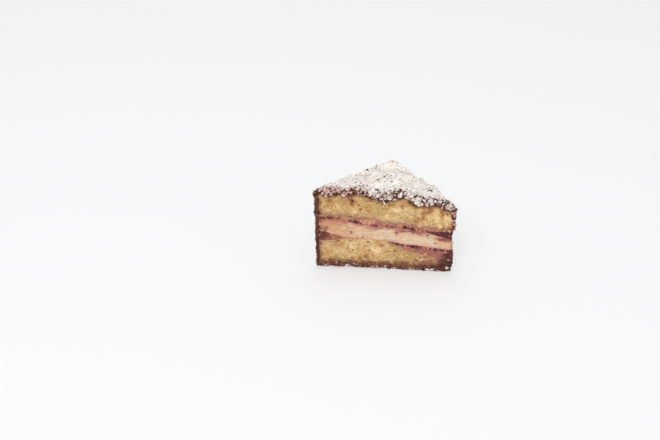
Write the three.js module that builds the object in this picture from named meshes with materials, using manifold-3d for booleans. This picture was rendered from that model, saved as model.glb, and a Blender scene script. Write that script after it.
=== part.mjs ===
// Half of a square jam-and-cream lamington, cut from corner to corner.
//
// Two sponge layers hold a cream filling with jam above and below it. A chocolate coat with
// coconut stuck in it wraps the top, the base and the two uncut sides, and the cut leaves
// the layers bare. Lengths are in millimetres. +Z is up, the cut face looks along -Y and the
// cake's uncut corner points along +Y. The origin is under the middle of the whole box.

import * as THREE from "three";
import { mergeVertices } from "three/addons/utils/BufferGeometryUtils.js";
import Module from "manifold-3d";

const wasm = await Module();
wasm.setup();

const { clamp, lerp, mapLinear, smoothstep } = THREE.MathUtils;

// ---- Driving dimensions ----

const SIDE = 70; // side of the whole square cake, coat included
const CORNER_RADIUS = 4; // rounding of its upright corners
const LEAST_RADIUS = 1.2; // rounding that the layers' corners keep
const COAT_WALL = 2.4; // chocolate on the two sides
const COAT_BASE = 3.2; // chocolate under the lower sponge
const COAT_TOP = 3.6; // chocolate over the upper sponge, away from the cut
const TOP_ROUND = 3.2; // rounding of the top edge
const BASE_ROUND = 1.4; // rounding of the bottom edge
const FLARE = 0.03; // widening from the base to the top, as a share of the width
const SKEW = 0.045; // sideways drift of the uncut corner, as a share of its distance
const SEAM = 0.3; // gap between solids that touch

// Cells of the grid that every layer and the coat share: along the cut and away from it.
const CELLS = { along: 22, away: 6 };
const ROWS = { coat: 7, sponge: 2, filling: 1 }; // rows of cells in their height

// Lines that the cut shows. Each has its heights at these distances from the middle of the cut.
const STATIONS = [-48, -40, -30, -20, -10, 0, 8, 14, 21, 30, 40, 48];
const LINES = {
  lowerSpongeTop: [20.6, 20.7, 22.3, 22.8, 22.5, 21.8, 19, 17.3, 16.4, 15.9, 15.3, 14.4],
  creamBase: [27.8, 27, 24.7, 23.8, 23.4, 23, 21.2, 20.4, 19.8, 18.9, 17.8, 16.6],
  creamTop: [37.6, 36.5, 35.4, 34.4, 32.9, 32.1, 31.4, 30.6, 29.7, 28.2, 26.2, 24.6],
  upperSpongeBase: [40.4, 40.2, 39.6, 38.6, 37.3, 36.2, 35.3, 34.5, 33.7, 32.8, 31.9, 31.4],
  upperSpongeTop: [55.8, 56.1, 56.6, 57.2, 54.6, 52.3, 54, 55, 50.7, 50.9, 49.4, 46.2],
  coatTop: [58.4, 60.3, 60.6, 61, 58.4, 57.6, 60.4, 58.6, 56.2, 54.6, 53, 49.2],
};

// The knife drags the rim down in places. Behind it the top runs along this smoother line.
const TOP_INSIDE = [57.5, 59.3, 59.8, 60, 60, 60, 60.8, 60.6, 59.4, 57.8, 54.6, 50];
const RIM_DEPTH = 13; // how far behind the cut the top has left its cut line

// The knife leaves the cut face slightly wavy: height of each wave, its two lengths, its phase.
const CUT_WAVES = [
  { height: 0.3, along: 4.3, upwards: 15, phase: 0 },
  { height: 0.25, along: 9.7, upwards: -12, phase: 2 },
];

// Coconut: sides, sizes and greatest tilt of a flake, and how many lie on each face of the coat.
const FLAKE = { sides: 5, length: [4.2, 7.4], width: [1.9, 3.1], thickness: 1.3, taper: 0.72, tilt: 0.17 };
const FLAKES = { top: 50, leftWall: 34, rightWall: 34, farWall: 36 };
const FLAKE_SEED = 7;

// ---- Plan of the cake ----

// The uncut outline as a path from the left end of the cut, round the far corner, to the right
// end: a half-turned corner, a side, the far corner, a side and a half-turned corner.
function outlinePath(inset) {
  const eighthTurn = Math.PI / 4;
  const radius = Math.max(CORNER_RADIUS - inset, LEAST_RADIUS);
  const centre = (SIDE - 2 * inset) / Math.SQRT2 - radius * Math.SQRT2;
  const path = new THREE.Path();
  path.absarc(-centre, 0, radius, 4 * eighthTurn, 3 * eighthTurn, true);
  path.absarc(0, centre, radius, 3 * eighthTurn, eighthTurn, true);
  path.absarc(centre, 0, radius, eighthTurn, 0, true);
  return path;
}

const END_SHARE = 0.3; // share of the outline that closes each end of the grid

// Maps the unit square onto the plan: along 0..1 runs with the cut, away 0..1 leaves it. It is a
// Coons patch, the blend of the four boundary curves less the blend of their four corners.
function planMap(inset) {
  const path = outlinePath(inset);
  const at = (share) => path.getPointAt(clamp(share, 0, 1));
  const between = (start, end, along) => start.clone().lerp(end, along);
  return (along, away) => {
    const cut = between(at(0), at(1), along);
    const far = at(lerp(END_SHARE, 1 - END_SHARE, along));
    const ends = between(at(END_SHARE * away), at(1 - END_SHARE * away), along);
    const farLine = between(at(END_SHARE), at(1 - END_SHARE), along);
    const corners = between(cut, farLine, away);
    return cut.lerp(far, away).add(ends).sub(corners);
  };
}

// ---- Heights ----

// A line of the cut as a smooth curve, read by the distance along the cut.
function heightAlong(heights) {
  const curve = new THREE.SplineCurve(heights.map((z, i) => new THREE.Vector2(STATIONS[i], z)));
  const samples = curve.getPoints(20 * heights.length);
  return (x) => {
    const inRange = clamp(x, samples[0].x, samples.at(-1).x);
    const next = Math.max(1, samples.findIndex((sample) => sample.x >= inRange));
    const [before, after] = [samples[next - 1], samples[next]];
    return mapLinear(inRange, before.x, after.x, before.y, after.y);
  };
}

const line = Object.fromEntries(
  Object.entries(LINES).map(([name, heights]) => [name, heightAlong(heights)]),
);
const topInside = heightAlong(TOP_INSIDE);

// A height that leaves its line at the cut and joins another line behind it.
const behindCut = (atCut, inside) => (x, y) => lerp(atCut(x), inside(x), smoothstep(y, 0, RIM_DEPTH));

const coatBase = () => COAT_BASE;
const coatTop = behindCut(line.coatTop, topInside);
const upperSpongeTop = behindCut(line.upperSpongeTop, (x) => topInside(x) - COAT_TOP);

// Distance in plan from the two uncut sides.
const fromSides = (x, y) => (SIDE / Math.SQRT2 - Math.abs(x) - y) / Math.SQRT2;

// Drop of a rounded edge at a point of the plan: a quarter circle that starts at the sides.
function edgeDrop(radius, x, y) {
  const inward = clamp(radius - fromSides(x, y), 0, radius);
  return radius - Math.sqrt(radius * radius - inward * inward);
}

const outerBase = (x, y) => edgeDrop(BASE_ROUND, x, y);
const outerTop = (x, y) => coatTop(x, y) - edgeDrop(TOP_ROUND, x, y);

// ---- Uneven form ----

// The cake widens a little towards its top and is not quite square. Both changes are even with
// height, so walls that stand in each other stay parallel.
function shape(point) {
  const widening = 1 + (FLARE * point.z) / SIDE;
  point.x = (point.x + SKEW * point.y) * widening;
  point.y *= widening;
  return point;
}

// The wave fades out behind the cut face.
function cutWave(x, z, away) {
  const wave = CUT_WAVES.reduce(
    (sum, { height, along, upwards, phase }) => sum + height * Math.sin(x / along + z / upwards + phase),
    0,
  );
  return wave * (1 - away) ** 3;
}

// ---- Solids ----

function solidOf(geometry) {
  const bare = geometry.clone();
  bare.deleteAttribute("normal");
  bare.deleteAttribute("uv");
  const merged = mergeVertices(bare, 1e-4);
  return new wasm.Manifold(
    new wasm.Mesh({
      numProp: 3,
      vertProperties: new Float32Array(merged.attributes.position.array),
      triVerts: new Uint32Array(merged.index.array),
    }),
  );
}

function geometryOf(solid) {
  const mesh = solid.getMesh();
  const geometry = new THREE.BufferGeometry();
  geometry.setAttribute("position", new THREE.BufferAttribute(mesh.vertProperties, 3));
  geometry.setIndex(new THREE.BufferAttribute(mesh.triVerts, 1));
  geometry.computeVertexNormals();
  return geometry;
}

// Columns crowd a little towards both ends of the cut, where the edges are rounded.
const columnShare = (share) => (share + 0.5 - 0.5 * Math.cos(Math.PI * share)) / 2;

// Rows of the plan crowd towards the far sides.
const intoCake = (share) => ({ away: Math.sin((Math.PI / 2) * share), push: 0 });

// The outline of the cut, pushed straight through it from just behind the face to well in front.
const THROUGH = { front: -6, behind: 0.6 };
const throughCut = (share) => ({ away: 0, push: lerp(THROUGH.front, THROUGH.behind, share) });

// A box of cells bent into the plan: base and top give its heights at a point of the plan, and
// reach says how far into the plan a row of cells lies and how far it is pushed along Y.
function bentBox({ inset, rows, base, top, reach = intoCake }) {
  const plan = planMap(inset);
  const geometry = new THREE.BoxGeometry(1, 1, 1, CELLS.along, CELLS.away, rows);
  const position = geometry.attributes.position;
  const point = new THREE.Vector3();
  for (let i = 0; i < position.count; i++) {
    point.fromBufferAttribute(position, i).addScalar(0.5);
    const { away, push } = reach(point.y);
    const { x, y } = plan(columnShare(point.x), away);
    shape(point.set(x, y, lerp(base(x, y), top(x, y), point.z)));
    position.setXYZ(i, point.x, point.y + cutWave(x, point.z, away) + push, point.z);
  }
  return geometry;
}

// A layer between two heights, clear of the coat and of its neighbours by half a seam each.
function layer(base, top, rows) {
  return bentBox({
    inset: COAT_WALL + SEAM / 2,
    rows,
    base: (x, y) => base(x, y) + SEAM / 2,
    top: (x, y) => top(x, y) - SEAM / 2,
  });
}

// The coat is the whole form less the room for the layers, which is open at the cut.
function coatShell() {
  const whole = bentBox({ inset: 0, rows: ROWS.coat, base: outerBase, top: outerTop });
  const room = {
    inset: COAT_WALL - SEAM / 2,
    rows: ROWS.coat,
    base: (x, y) => coatBase(x, y) - SEAM / 2,
    top: (x, y) => upperSpongeTop(x, y) + SEAM / 2,
  };
  const opening = { ...room, reach: throughCut };
  return solidOf(whole).subtract(solidOf(bentBox(room))).subtract(solidOf(bentBox(opening)));
}

// ---- Coconut ----

// A repeatable stream of numbers from 0 to 1.
function seededStream(seed) {
  let state = seed;
  return () => {
    state = (Math.imul(state, 1664525) + 1013904223) >>> 0;
    return state / 2 ** 32;
  };
}

// Places on a unit square that keep an even distance from each other: the additive recurrence
// of the plastic number.
const PLASTIC_NUMBER = 1.32471795724;
const evenSpot = (index) => [(index / PLASTIC_NUMBER) % 1, (index / PLASTIC_NUMBER ** 2) % 1];

const outerPlan = planMap(0);

function outerPoint(along, away, up) {
  const { x, y } = outerPlan(along, away);
  return shape(new THREE.Vector3(x, y, lerp(outerBase(x, y), outerTop(x, y), up)));
}

// Each face of the coat by two shares of its own, the second one turned anticlockwise from the
// first as seen from outside. The flakes keep clear of the cut and of the table.
const BY_CUT = 0.1;
const BY_END = 0.04;
const LOWEST = 0.1;
const HIGHEST = 0.93;
const COAT_FACES = {
  top: (a, b) => outerPoint(lerp(BY_END, 1 - BY_END, a), lerp(BY_CUT / 2, 1 - BY_END, b), 1),
  leftWall: (a, b) => outerPoint(0, lerp(1, BY_CUT, a), lerp(LOWEST, HIGHEST, b)),
  rightWall: (a, b) => outerPoint(1, lerp(BY_CUT, 1, a), lerp(LOWEST, HIGHEST, b)),
  farWall: (a, b) => outerPoint(1 - a, 1, lerp(LOWEST, HIGHEST, b)),
};

// The outer face of the coat at two shares, with its outward direction.
function faceAt(face, a, b) {
  const step = 0.01;
  const origin = face(a, b);
  const first = face(a + step, b).sub(origin);
  const second = face(a, b + step).sub(origin);
  return { origin, outward: first.cross(second).normalize() };
}

// One flake that lies flat: a slab with a few sides, longer one way, smaller at its outer face.
function flakeGeometry(draw) {
  const [length, width] = [FLAKE.length, FLAKE.width].map(([least, most]) => lerp(least, most, draw()));
  const slab = new THREE.CylinderGeometry(FLAKE.taper / 2, 1 / 2, FLAKE.thickness, FLAKE.sides);
  slab.rotateX(Math.PI / 2);
  slab.scale(length, width, 1);
  slab.rotateX(lerp(-FLAKE.tilt, FLAKE.tilt, draw()));
  slab.rotateY(lerp(-FLAKE.tilt, FLAKE.tilt, draw()));
  slab.rotateZ(2 * Math.PI * draw());
  return slab;
}

// The flakes of the whole coat, each sunk to half its thickness.
function flakeSolids() {
  const draw = seededStream(FLAKE_SEED);
  const upwards = new THREE.Vector3(0, 0, 1);
  return Object.entries(FLAKES).flatMap(([face, count]) =>
    Array.from({ length: count }, (_, i) => {
      const { origin, outward } = faceAt(COAT_FACES[face], ...evenSpot(i));
      const turn = new THREE.Quaternion().setFromUnitVectors(upwards, outward);
      const flake = flakeGeometry(draw).applyQuaternion(turn);
      return solidOf(flake.translate(origin.x, origin.y, origin.z));
    }),
  );
}

// ---- The cake ----

const MATERIALS = {
  coat: new THREE.MeshStandardMaterial({ color: 0xd8cdc4, roughness: 0.85, metalness: 0 }),
  sponge: new THREE.MeshStandardMaterial({ color: 0xdcb67c, roughness: 0.95, metalness: 0 }),
  cream: new THREE.MeshStandardMaterial({ color: 0xe8cfae, roughness: 0.55, metalness: 0 }),
  jam: new THREE.MeshStandardMaterial({ color: 0x7c3140, roughness: 0.3, metalness: 0 }),
};

const coating = flakeSolids().reduce((coat, flake) => coat.add(flake), coatShell());

const PIECES = {
  coating: [geometryOf(coating), MATERIALS.coat],
  sponge_lower: [layer(coatBase, line.lowerSpongeTop, ROWS.sponge), MATERIALS.sponge],
  jam_lower: [layer(line.lowerSpongeTop, line.creamBase, ROWS.filling), MATERIALS.jam],
  cream: [layer(line.creamBase, line.creamTop, ROWS.filling), MATERIALS.cream],
  jam_upper: [layer(line.creamTop, line.upperSpongeBase, ROWS.filling), MATERIALS.jam],
  sponge_upper: [layer(line.upperSpongeBase, upperSpongeTop, ROWS.sponge), MATERIALS.sponge],
};

const cake = new THREE.Group();
for (const [name, [geometry, material]] of Object.entries(PIECES)) {
  const piece = new THREE.Mesh(geometry, material);
  piece.name = name;
  cake.add(piece);
}

// The origin goes under the middle of the box that holds the cake.
const box = new THREE.Box3().setFromObject(cake, true);
const middle = box.getCenter(new THREE.Vector3());
cake.position.set(-middle.x, -middle.y, -box.min.z);

export default cake;
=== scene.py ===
# %% [markdown]
# # Half a jam-and-cream lamington
# A square sponge cake was split into two layers, filled with cream and jam, dipped in chocolate
# and rolled in coconut. It was then cut from corner to corner. This lesson builds one half: first
# its form, then the cut layers, the chocolate coat, the coconut and the crumbs, and at last the
# finishes, the light and the camera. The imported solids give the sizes, and each of them is
# replaced by a piece with a real surface.

import bpy
import numpy as np
from mathutils import Matrix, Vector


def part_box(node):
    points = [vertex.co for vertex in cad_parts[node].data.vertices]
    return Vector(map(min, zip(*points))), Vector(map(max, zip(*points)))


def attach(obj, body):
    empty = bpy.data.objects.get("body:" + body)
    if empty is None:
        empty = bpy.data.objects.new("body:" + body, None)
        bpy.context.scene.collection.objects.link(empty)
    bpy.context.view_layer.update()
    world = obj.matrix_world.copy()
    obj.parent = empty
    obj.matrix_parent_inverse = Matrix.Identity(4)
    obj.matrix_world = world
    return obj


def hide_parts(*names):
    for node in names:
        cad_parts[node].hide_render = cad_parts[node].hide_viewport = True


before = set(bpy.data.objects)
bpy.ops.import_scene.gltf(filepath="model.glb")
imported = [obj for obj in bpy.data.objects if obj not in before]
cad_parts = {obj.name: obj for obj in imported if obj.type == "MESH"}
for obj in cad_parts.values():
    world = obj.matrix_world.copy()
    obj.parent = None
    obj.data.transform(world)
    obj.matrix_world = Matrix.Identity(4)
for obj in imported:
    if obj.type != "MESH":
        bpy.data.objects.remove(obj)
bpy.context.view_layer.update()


# %% [markdown]
# ## The cake's own measures
# Working in millimetres, from the middle of the cut edge, keeps the numbers readable: x runs
# along the cut, y into the cake and z up. The place of the cut comes from the cream's solid, so
# the new pieces sit on the solids even when those are made again.

# %% Measures
MM = 0.001
CUT_WAVE = 0.45  # the solid cut face is wavy by this much
cut_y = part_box("cream")[0].y / MM + CUT_WAVE
SIDE = 70.0  # one side of the whole square cake
CORNER = 4.0  # radius of its corners, seen from above
WALL = 2.4  # thickness of the coat on the uncut sides
BASE = 3.2  # thickness of the coat under the cake
TOP = 3.6  # thickness of the coat on top, with the coconut's bed
TOP_ROUND = 3.2  # rounding of the upper edges
BASE_ROUND = 1.4  # rounding of the lower edges
SKEW = 0.045  # shift to the right for each millimetre into the cake
FLARE = 0.03  # how much wider the cake is one side's length higher up
print("cut face at y =", round(cut_y, 2), "mm")

# %% [markdown]
# ## The plan
# From above the half cake is a right-angled triangle with rounded corners. The plan is the same
# if x and y change places, so one formula gives both its half width at a depth y and its depth
# at a distance x: a quarter of a circle, then a straight side, then another part of a circle.

# %% Plan
SMALLEST_RADIUS = 1.2  # an inset corner never gets sharper than this


def plan_extent(t, inset):
    """Half width of the plan at depth t, or its depth at distance t from the middle. Near 0 it is
    centre + root(r^2 - t^2), then centre + r*root 2 - t, and at the far end root(r^2 - (t -
    centre)^2), with r the corner's radius and centre the place of its middle."""
    r = max(CORNER - inset, SMALLEST_RADIUS)
    centre = (SIDE - 2 * inset) / np.sqrt(2) - r * np.sqrt(2)
    turn = r / np.sqrt(2)
    near = centre + np.sqrt(np.maximum(r * r - t * t, 0))
    far = np.sqrt(np.maximum(r * r - (t - centre) ** 2, 0))
    straight = centre + r * np.sqrt(2) - t
    return np.where(t < turn, near, np.where(t > centre + turn, far, straight))


def plan_end(inset):
    """Where the plan ends on the x axis: centre + r."""
    return float(plan_extent(np.array(0.0), inset))


print("cut edge:", round(2 * plan_end(0), 1), "mm, layers:", round(2 * plan_end(WALL), 1), "mm")

# %% [markdown]
# The knife missed the corners by a little, and the cake bulges towards its top. Both are done
# last, by one formula for all pieces, so that everything before can use the simple plan.

# %% Place in the frame
def set_in_place(points):
    """Skew and flare: x + SKEW*y, then x and y times 1 + FLARE*z/SIDE. Then from the cake's own
    millimetres to metres in the shared frame."""
    x, y, z = points[..., 0], points[..., 1], points[..., 2]
    wider = 1 + FLARE * z / SIDE
    return np.stack([(x + SKEW * y) * wider, y * wider + cut_y, z], -1) * MM


far_corner = set_in_place(np.array([0.0, plan_end(0), 0.0]))
print("far corner of the base:", far_corner.round(4), "m")

# %% [markdown]
# ## Random numbers that follow the place
# Crumb, smears and lumps need noise: a number that changes smoothly with the place. Value noise
# blends random numbers set on the corners of a lattice, and layers of it, each finer and weaker
# than the one before, look like something torn.

# %% Value noise
def scramble(cells, seed):
    """A number from 0 to 1 for each whole-number cell: products with large odd numbers, mixed by
    shifts and kept to 32 bits."""
    c = cells.astype(np.int64)
    h = c[..., 0] * 374761393 + c[..., 1] * 668265263 + c[..., 2] * 2147483647 + seed * 1274126177
    h = (h ^ (h >> 13)) & 0xFFFFFFFF
    h = (h * 1274126177) & 0xFFFFFFFF
    h = (h ^ (h >> 16)) & 0xFFFFFFFF
    h = (h * 2246822519) & 0xFFFFFFFF
    return ((h ^ (h >> 15)) & 0xFFFFFF) / 0xFFFFFF


def smooth(a, b, t):
    """Smooth step: s*s*(3 - 2s), with s the share of t between a and b."""
    s = np.clip((t - a) / (b - a), 0, 1)
    return s * s * (3 - 2 * s)


def value_noise(p, cell, seed):
    """Noise from -1 to 1: the eight corner numbers of the cell, blended by a smooth step in each
    direction."""
    q = p / np.asarray(cell, float)
    base = np.floor(q)
    f = smooth(0, 1, q - base)
    total = 0
    for corner in np.ndindex(2, 2, 2):
        share = np.where(corner, f, 1 - f).prod(-1)
        total = total + share * scramble(base + corner, seed)
    return 2 * total - 1


def layered_noise(p, cell, seed, octaves=3):
    """Value noise plus finer copies of it, each with half the cell and half the height."""
    cell = np.asarray(cell, float)
    return sum(value_noise(p, cell / 2**o, seed + 7 * o) / 2**o for o in range(octaves))


def line_noise(x, cell, seed, octaves=3):
    """Layered noise along one line."""
    return layered_noise(np.stack([x, 0 * x + 0.5, 0 * x + 0.5], -1), cell, seed, octaves)


sample = line_noise(np.linspace(0, 400, 2000), 5.0, 1)
print("layered noise runs from", round(float(sample.min()), 2), "to", round(float(sample.max()), 2))

# %% [markdown]
# Bubbles need another kind. Cell noise scatters one point in each cell of a lattice and measures
# the distance to the nearest one, which gives round pores. Each point also has a number of its
# own, so that some pores can be left out and others made wider.

# %% Cell noise
def cell_noise(p, cell, seed):
    """Distance to the nearest scattered point, in cells, and that point's own random number."""
    q = p / np.asarray(cell, float)
    base = np.floor(q)
    nearest = np.full(p.shape[:-1], 9.0)
    owner = np.zeros(p.shape[:-1])
    for step in np.ndindex(3, 3, 3):
        c = base + step - 1
        spot = c + np.stack([scramble(c, seed + n) for n in (1, 2, 3)], -1)
        d = np.sqrt(((q - spot) ** 2).sum(-1))
        owner = np.where(d < nearest, scramble(c, seed + 4), owner)
        nearest = np.minimum(d, nearest)
    return nearest, owner


away, _ = cell_noise(np.random.default_rng(1).uniform(0, 40, (2000, 3)), 2.0, 1)
print("distance to a cell's point:", round(float(away.mean()), 2), "cells on average")

# %% [markdown]
# ## The lines of the cut
# The knife shows five lines between the layers and the outline of the coat. Each line is a
# smooth curve through a few heights, given at places along the cut.

# %% Lines between the layers
def curve_through(places, heights):
    """Catmull-Rom curve through the points (place, height), sampled finely and read by place:
    each stretch starts and ends with half the step between the points on either side."""
    p = np.stack([places, heights], -1).astype(float)
    p = np.concatenate([p[:1], p, p[-1:]])
    t = np.linspace(0, 1, 24, endpoint=False)[:, None]
    stretches = []
    for a, b, c, d in zip(p[:-3], p[1:-2], p[2:-1], p[3:]):
        u, v = (c - a) / 2, (d - b) / 2
        cubic, square = 2 * b - 2 * c + u + v, 3 * c - 3 * b - 2 * u - v
        stretches.append(cubic * t**3 + square * t**2 + u * t + b)
    samples = np.concatenate([*stretches, p[-1:]])
    return lambda x: np.interp(x, samples[:, 0], samples[:, 1])


STATIONS = [-48, -40, -30, -20, -10, 0, 8, 14, 21, 30, 40, 48]
HEIGHTS = [
    (20.6, 20.7, 22.3, 22.9, 22.8, 22, 19.2, 17.6, 16.6, 16.1, 15.2, 14.4),
    (28.3, 27.4, 25, 23.6, 23, 22.8, 21, 20.4, 19.7, 19, 17.8, 16.2),
    (38.6, 36.6, 35.9, 35, 33.4, 33.1, 32.9, 32.3, 31, 29.3, 27, 25),
    (40.1, 40.1, 39.7, 38.4, 38.6, 35.9, 35.2, 34.5, 33.7, 32.7, 31.9, 31.4),
]
curves = [curve_through(STATIONS, heights) for heights in HEIGHTS]
lower_sponge_top, cream_base, cream_top, upper_sponge_base = curves
for name, line in [("lower sponge", lower_sponge_top), ("cream", cream_top)]:
    print(f"top of the {name}: {line(-40):.1f} mm at the left, {line(40):.1f} mm at the right")

# %% [markdown]
# The coat's rim sags in places where the knife pulled it down, and the sponge under it follows.
# Behind the cut the rim's dips fade into a smoother top, so each height is the rim's line,
# blended into the inner line over the first millimetres of depth.

# %% Top of the coat
rim_sponge = curve_through(
    [-48, -40, -36, -31, -26, -20, -17, -11, -6, 0, 4, 8, 13, 16, 20, 28, 34, 40, 48],
    [56.1, 56.1, 55.9, 57, 56, 57.5, 56.7, 54.7, 53.6, 52, 53.2, 54.4, 56.2, 53, 50.4, 50.6, 50.8,
     48.2, 45],
)
rim_top = curve_through(
    [-48, -41, -34, -27, -20, -13, -6, 0, 8, 16, 24, 32, 40, 48],
    [57.6, 59.6, 59.7, 59.4, 60.4, 58.9, 56.6, 56.8, 59.4, 57, 54.8, 53.6, 52.3, 48.6],
)
inside_top = curve_through(
    [-48, -41, -36, -31, -24, -20, -14, -10, -4, 2, 6, 10,
     14, 18, 22, 25.5, 28, 31, 34, 37.5, 40, 43, 46, 48],
    [56.6, 58, 59.1, 60.2, 60.1, 59.4, 59.7, 60.8, 60.5, 60.8, 60.9, 60,
     57.8, 56.6, 57, 55.2, 56.2, 57.1, 54.8, 51.8, 52, 51.9, 50.2, 48.6],
)
RIM_DEPTH = 13  # depth over which the rim's line fades


def coat_top(x, y):
    """Top of the chocolate: the rim's line at the cut, blended into the smoother line behind."""
    return rim_top(x) + (inside_top(x) - rim_top(x)) * smooth(0, RIM_DEPTH, y)


def sponge_top(x, y):
    """Top of the upper sponge: its own line at the cut, and one coat's depth below behind it."""
    return rim_sponge(x) + (inside_top(x) - TOP - rim_sponge(x)) * smooth(0, RIM_DEPTH, y)


print("rim falls from", round(float(rim_top(-20)), 1), "to", round(float(rim_top(46)), 1), "mm")

# %% [markdown]
# Dipped chocolate runs round an edge and can't stand sharp. Top and base are therefore lowered
# and lifted near the two uncut sides by a part of a circle.

# %% Rounded edges
def edge_drop(radius, x, y):
    """Drop of a rounded edge: r - root(r^2 - d^2), with d how far the point is inside the
    radius, measured from the two straight sides."""
    off = (SIDE / np.sqrt(2) - np.abs(x) - y) / np.sqrt(2)
    d = np.clip(radius - off, 0, radius)
    return radius - np.sqrt(radius * radius - d * d)


print("drop 1 mm from the side:", round(float(edge_drop(TOP_ROUND, 0, 48.1)), 2), "mm")

# %% [markdown]
# ## From a grid to a piece
# Every new surface is a grid of points that closes on itself in one direction, like a sleeve,
# with a flat end at both open sides. One helper turns such a grid into a mesh, adds the numbers
# that a material needs as attributes, and hangs the piece on the solid's body.

# %% Sleeve mesh
def close_sleeve(rows, columns):
    """Faces of a sleeve: quads between neighbouring rows, the last column joined to the first,
    and one face over each open end."""
    index = np.arange(rows * columns).reshape(rows, columns)
    a, b = index[:-1], index[1:]
    quads = np.stack([a, b, np.roll(b, -1, 1), np.roll(a, -1, 1)], -1).reshape(-1, 4)
    return quads, [index[0], index[-1][::-1]]


def inside_volume(points, quads):
    """Six times the signed volume: the sum of corner . (corner x corner) over all triangles,
    measured from the middle of the points. It is negative where the faces look inwards."""
    a, b, c, d = (points[quads[:, k]] for k in range(4))
    volume = (np.cross(b - a, c - a) * (a - points.mean(0))).sum()
    return volume + (np.cross(c - a, d - a) * (a - points.mean(0))).sum()


def into_scene(name, data):
    """A new object with this mesh, light or camera, linked to the scene."""
    made = bpy.data.objects.new(name, data)
    bpy.context.scene.collection.objects.link(made)
    return made


def mesh_piece(name, points, quads, ends, numbers, solid, smooth_faces=True):
    """A mesh in the shared frame from points in metres, its faces turned so that they look
    outwards. Each of the numbers becomes an attribute of the points."""
    points = points.reshape(-1, 3)
    faces = [tuple(q) for q in quads.tolist()] + [tuple(int(i) for i in e) for e in ends]
    if inside_volume(points, quads) < 0:
        faces = [f[::-1] for f in faces]
    mesh = bpy.data.meshes.new(name)
    mesh.from_pydata(points.tolist(), [], faces)
    for key, value in numbers.items():
        layer = mesh.attributes.new(key, "FLOAT", "POINT")
        layer.data.foreach_set("value", np.ascontiguousarray(value.reshape(-1), np.float32))
    if smooth_faces:
        mesh.shade_smooth()
    piece = into_scene(name, mesh)
    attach(piece, "root")
    if solid:
        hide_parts(solid)
    print(f"{name}: {len(points)} points, {len(faces)} faces")
    return piece


quads, ends = close_sleeve(3, 4)
print("a sleeve of 3 rings of 4 points:", len(quads), "quads and", len(ends), "ends")

# %% [markdown]
# ## A cut layer
# A layer fills the plan between two lines. Its sleeve runs along the cut: each ring climbs the
# cut face, goes back over the top, down the far wall and forward under the base. Only the cut
# face shows, so it gets a fine grid, and the hidden faces are coarse but finished.

# %% Layer sleeve
LAYER_INSET = WALL - 0.25  # the layers reach a little into the chocolate, so no gap shows
LAYER_GAP = 0.15  # and end this far before the plan's own point
ROWS_BEHIND = 15  # rows of points from the cut to the far wall, closest together at the cut
EDGE_FADE = (-0.1, 0.9)  # heights from an edge over which the relief grows to its full depth


def layer_rings(base, top, step, front_rows, relief):
    """Points of a layer, one ring to each place along the cut. On the cut face z goes from base
    to top and y is the relief, which fades at both edges so that neighbours meet. Then y runs to
    the plan's depth and back at the two heights. A number given on the face is carried on
    unchanged over the hidden faces."""
    end = plan_end(LAYER_INSET) - LAYER_GAP
    x = np.linspace(-end, end, int(2 * end / step))[:, None]
    depth = plan_extent(np.abs(x), LAYER_INSET)
    up = np.linspace(0, 1, front_rows)[None]
    back = np.linspace(0, 1, ROWS_BEHIND + 1)[None, 1:] ** 1.5
    z0, z1 = base(x, 0 * x), top(x, 0 * x)
    face = np.stack([x + 0 * up, 0 * x + 0 * up, z0 + (z1 - z0) * up], -1)
    depths, numbers = relief(face, up + 0 * x, z0 + 0 * up, z1 + 0 * up)
    to_edge = (z1 - z0) * np.minimum(up, 1 - up)
    face[..., 1] = depths * smooth(*EDGE_FADE, to_edge)
    over_y = face[:, -1:, 1] * (1 - back) + depth * back
    under_y = face[:, :1, 1] * (1 - back) + depth * back
    over = np.stack([x + 0 * back, over_y, top(x + 0 * back, np.maximum(over_y, 0))], -1)
    under = np.stack([x + 0 * back, under_y, base(x + 0 * back, np.maximum(under_y, 0))], -1)
    points = np.concatenate([face, over, under[:, ::-1]], 1)
    for key, v in numbers.items():
        over_number, under_number = (np.repeat(row, ROWS_BEHIND, 1) for row in (v[:, -1:], v[:, :1]))
        numbers[key] = np.concatenate([v, over_number, under_number], 1)
    return points, numbers


def make_layer(name, solid, base, top, step, front_rows, relief):
    """A finished layer in the place of a solid: its rings, closed to a sleeve. The step is the
    distance between rings along the cut, and front_rows the number of points up the cut face."""
    points, numbers = layer_rings(base, top, step, front_rows, relief)
    quads, ends = close_sleeve(*points.shape[:2])
    return mesh_piece(name, set_in_place(points), quads, ends, numbers, solid)


print("layers reach", round(plan_end(LAYER_INSET) - LAYER_GAP, 1), "mm to either side")

# %% [markdown]
# ## Torn edges
# No layer has a smooth edge. Crumb tears, so each line is roughened by noise. Where the knife
# dragged crumb over the upper jam it left teeth and a few deep notches. Every edge is held a film
# of jam above the next one, so that layers never cut into each other.

# %% Torn edges
def ragged(line, height, seed):
    """A line with torn crumb: noise with cells of 4 mm and of 1 mm, times the height."""

    def torn(x, y):
        rough = line_noise(x, 4.0, seed, 3) + 0.5 * line_noise(x, 1.0, seed + 3, 3)
        return line(x) + height * rough

    return torn


NOTCHES = [  # place, half width and height of each notch
    (-41.5, 0.9, 1.2), (-37.4, 1.1, 1.6), (-30.6, 1.4, 1.3), (-25.9, 1.0, 1.5), (-20.4, 1.3, 1.1),
    (-7.2, 1.2, 1.4), (-3.6, 0.9, 1.2), (13.6, 1.6, 1.8), (27.4, 1.4, 1.3), (34.6, 1.3, 1.0),
    (42.5, 2.8, 1.0),
]


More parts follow.
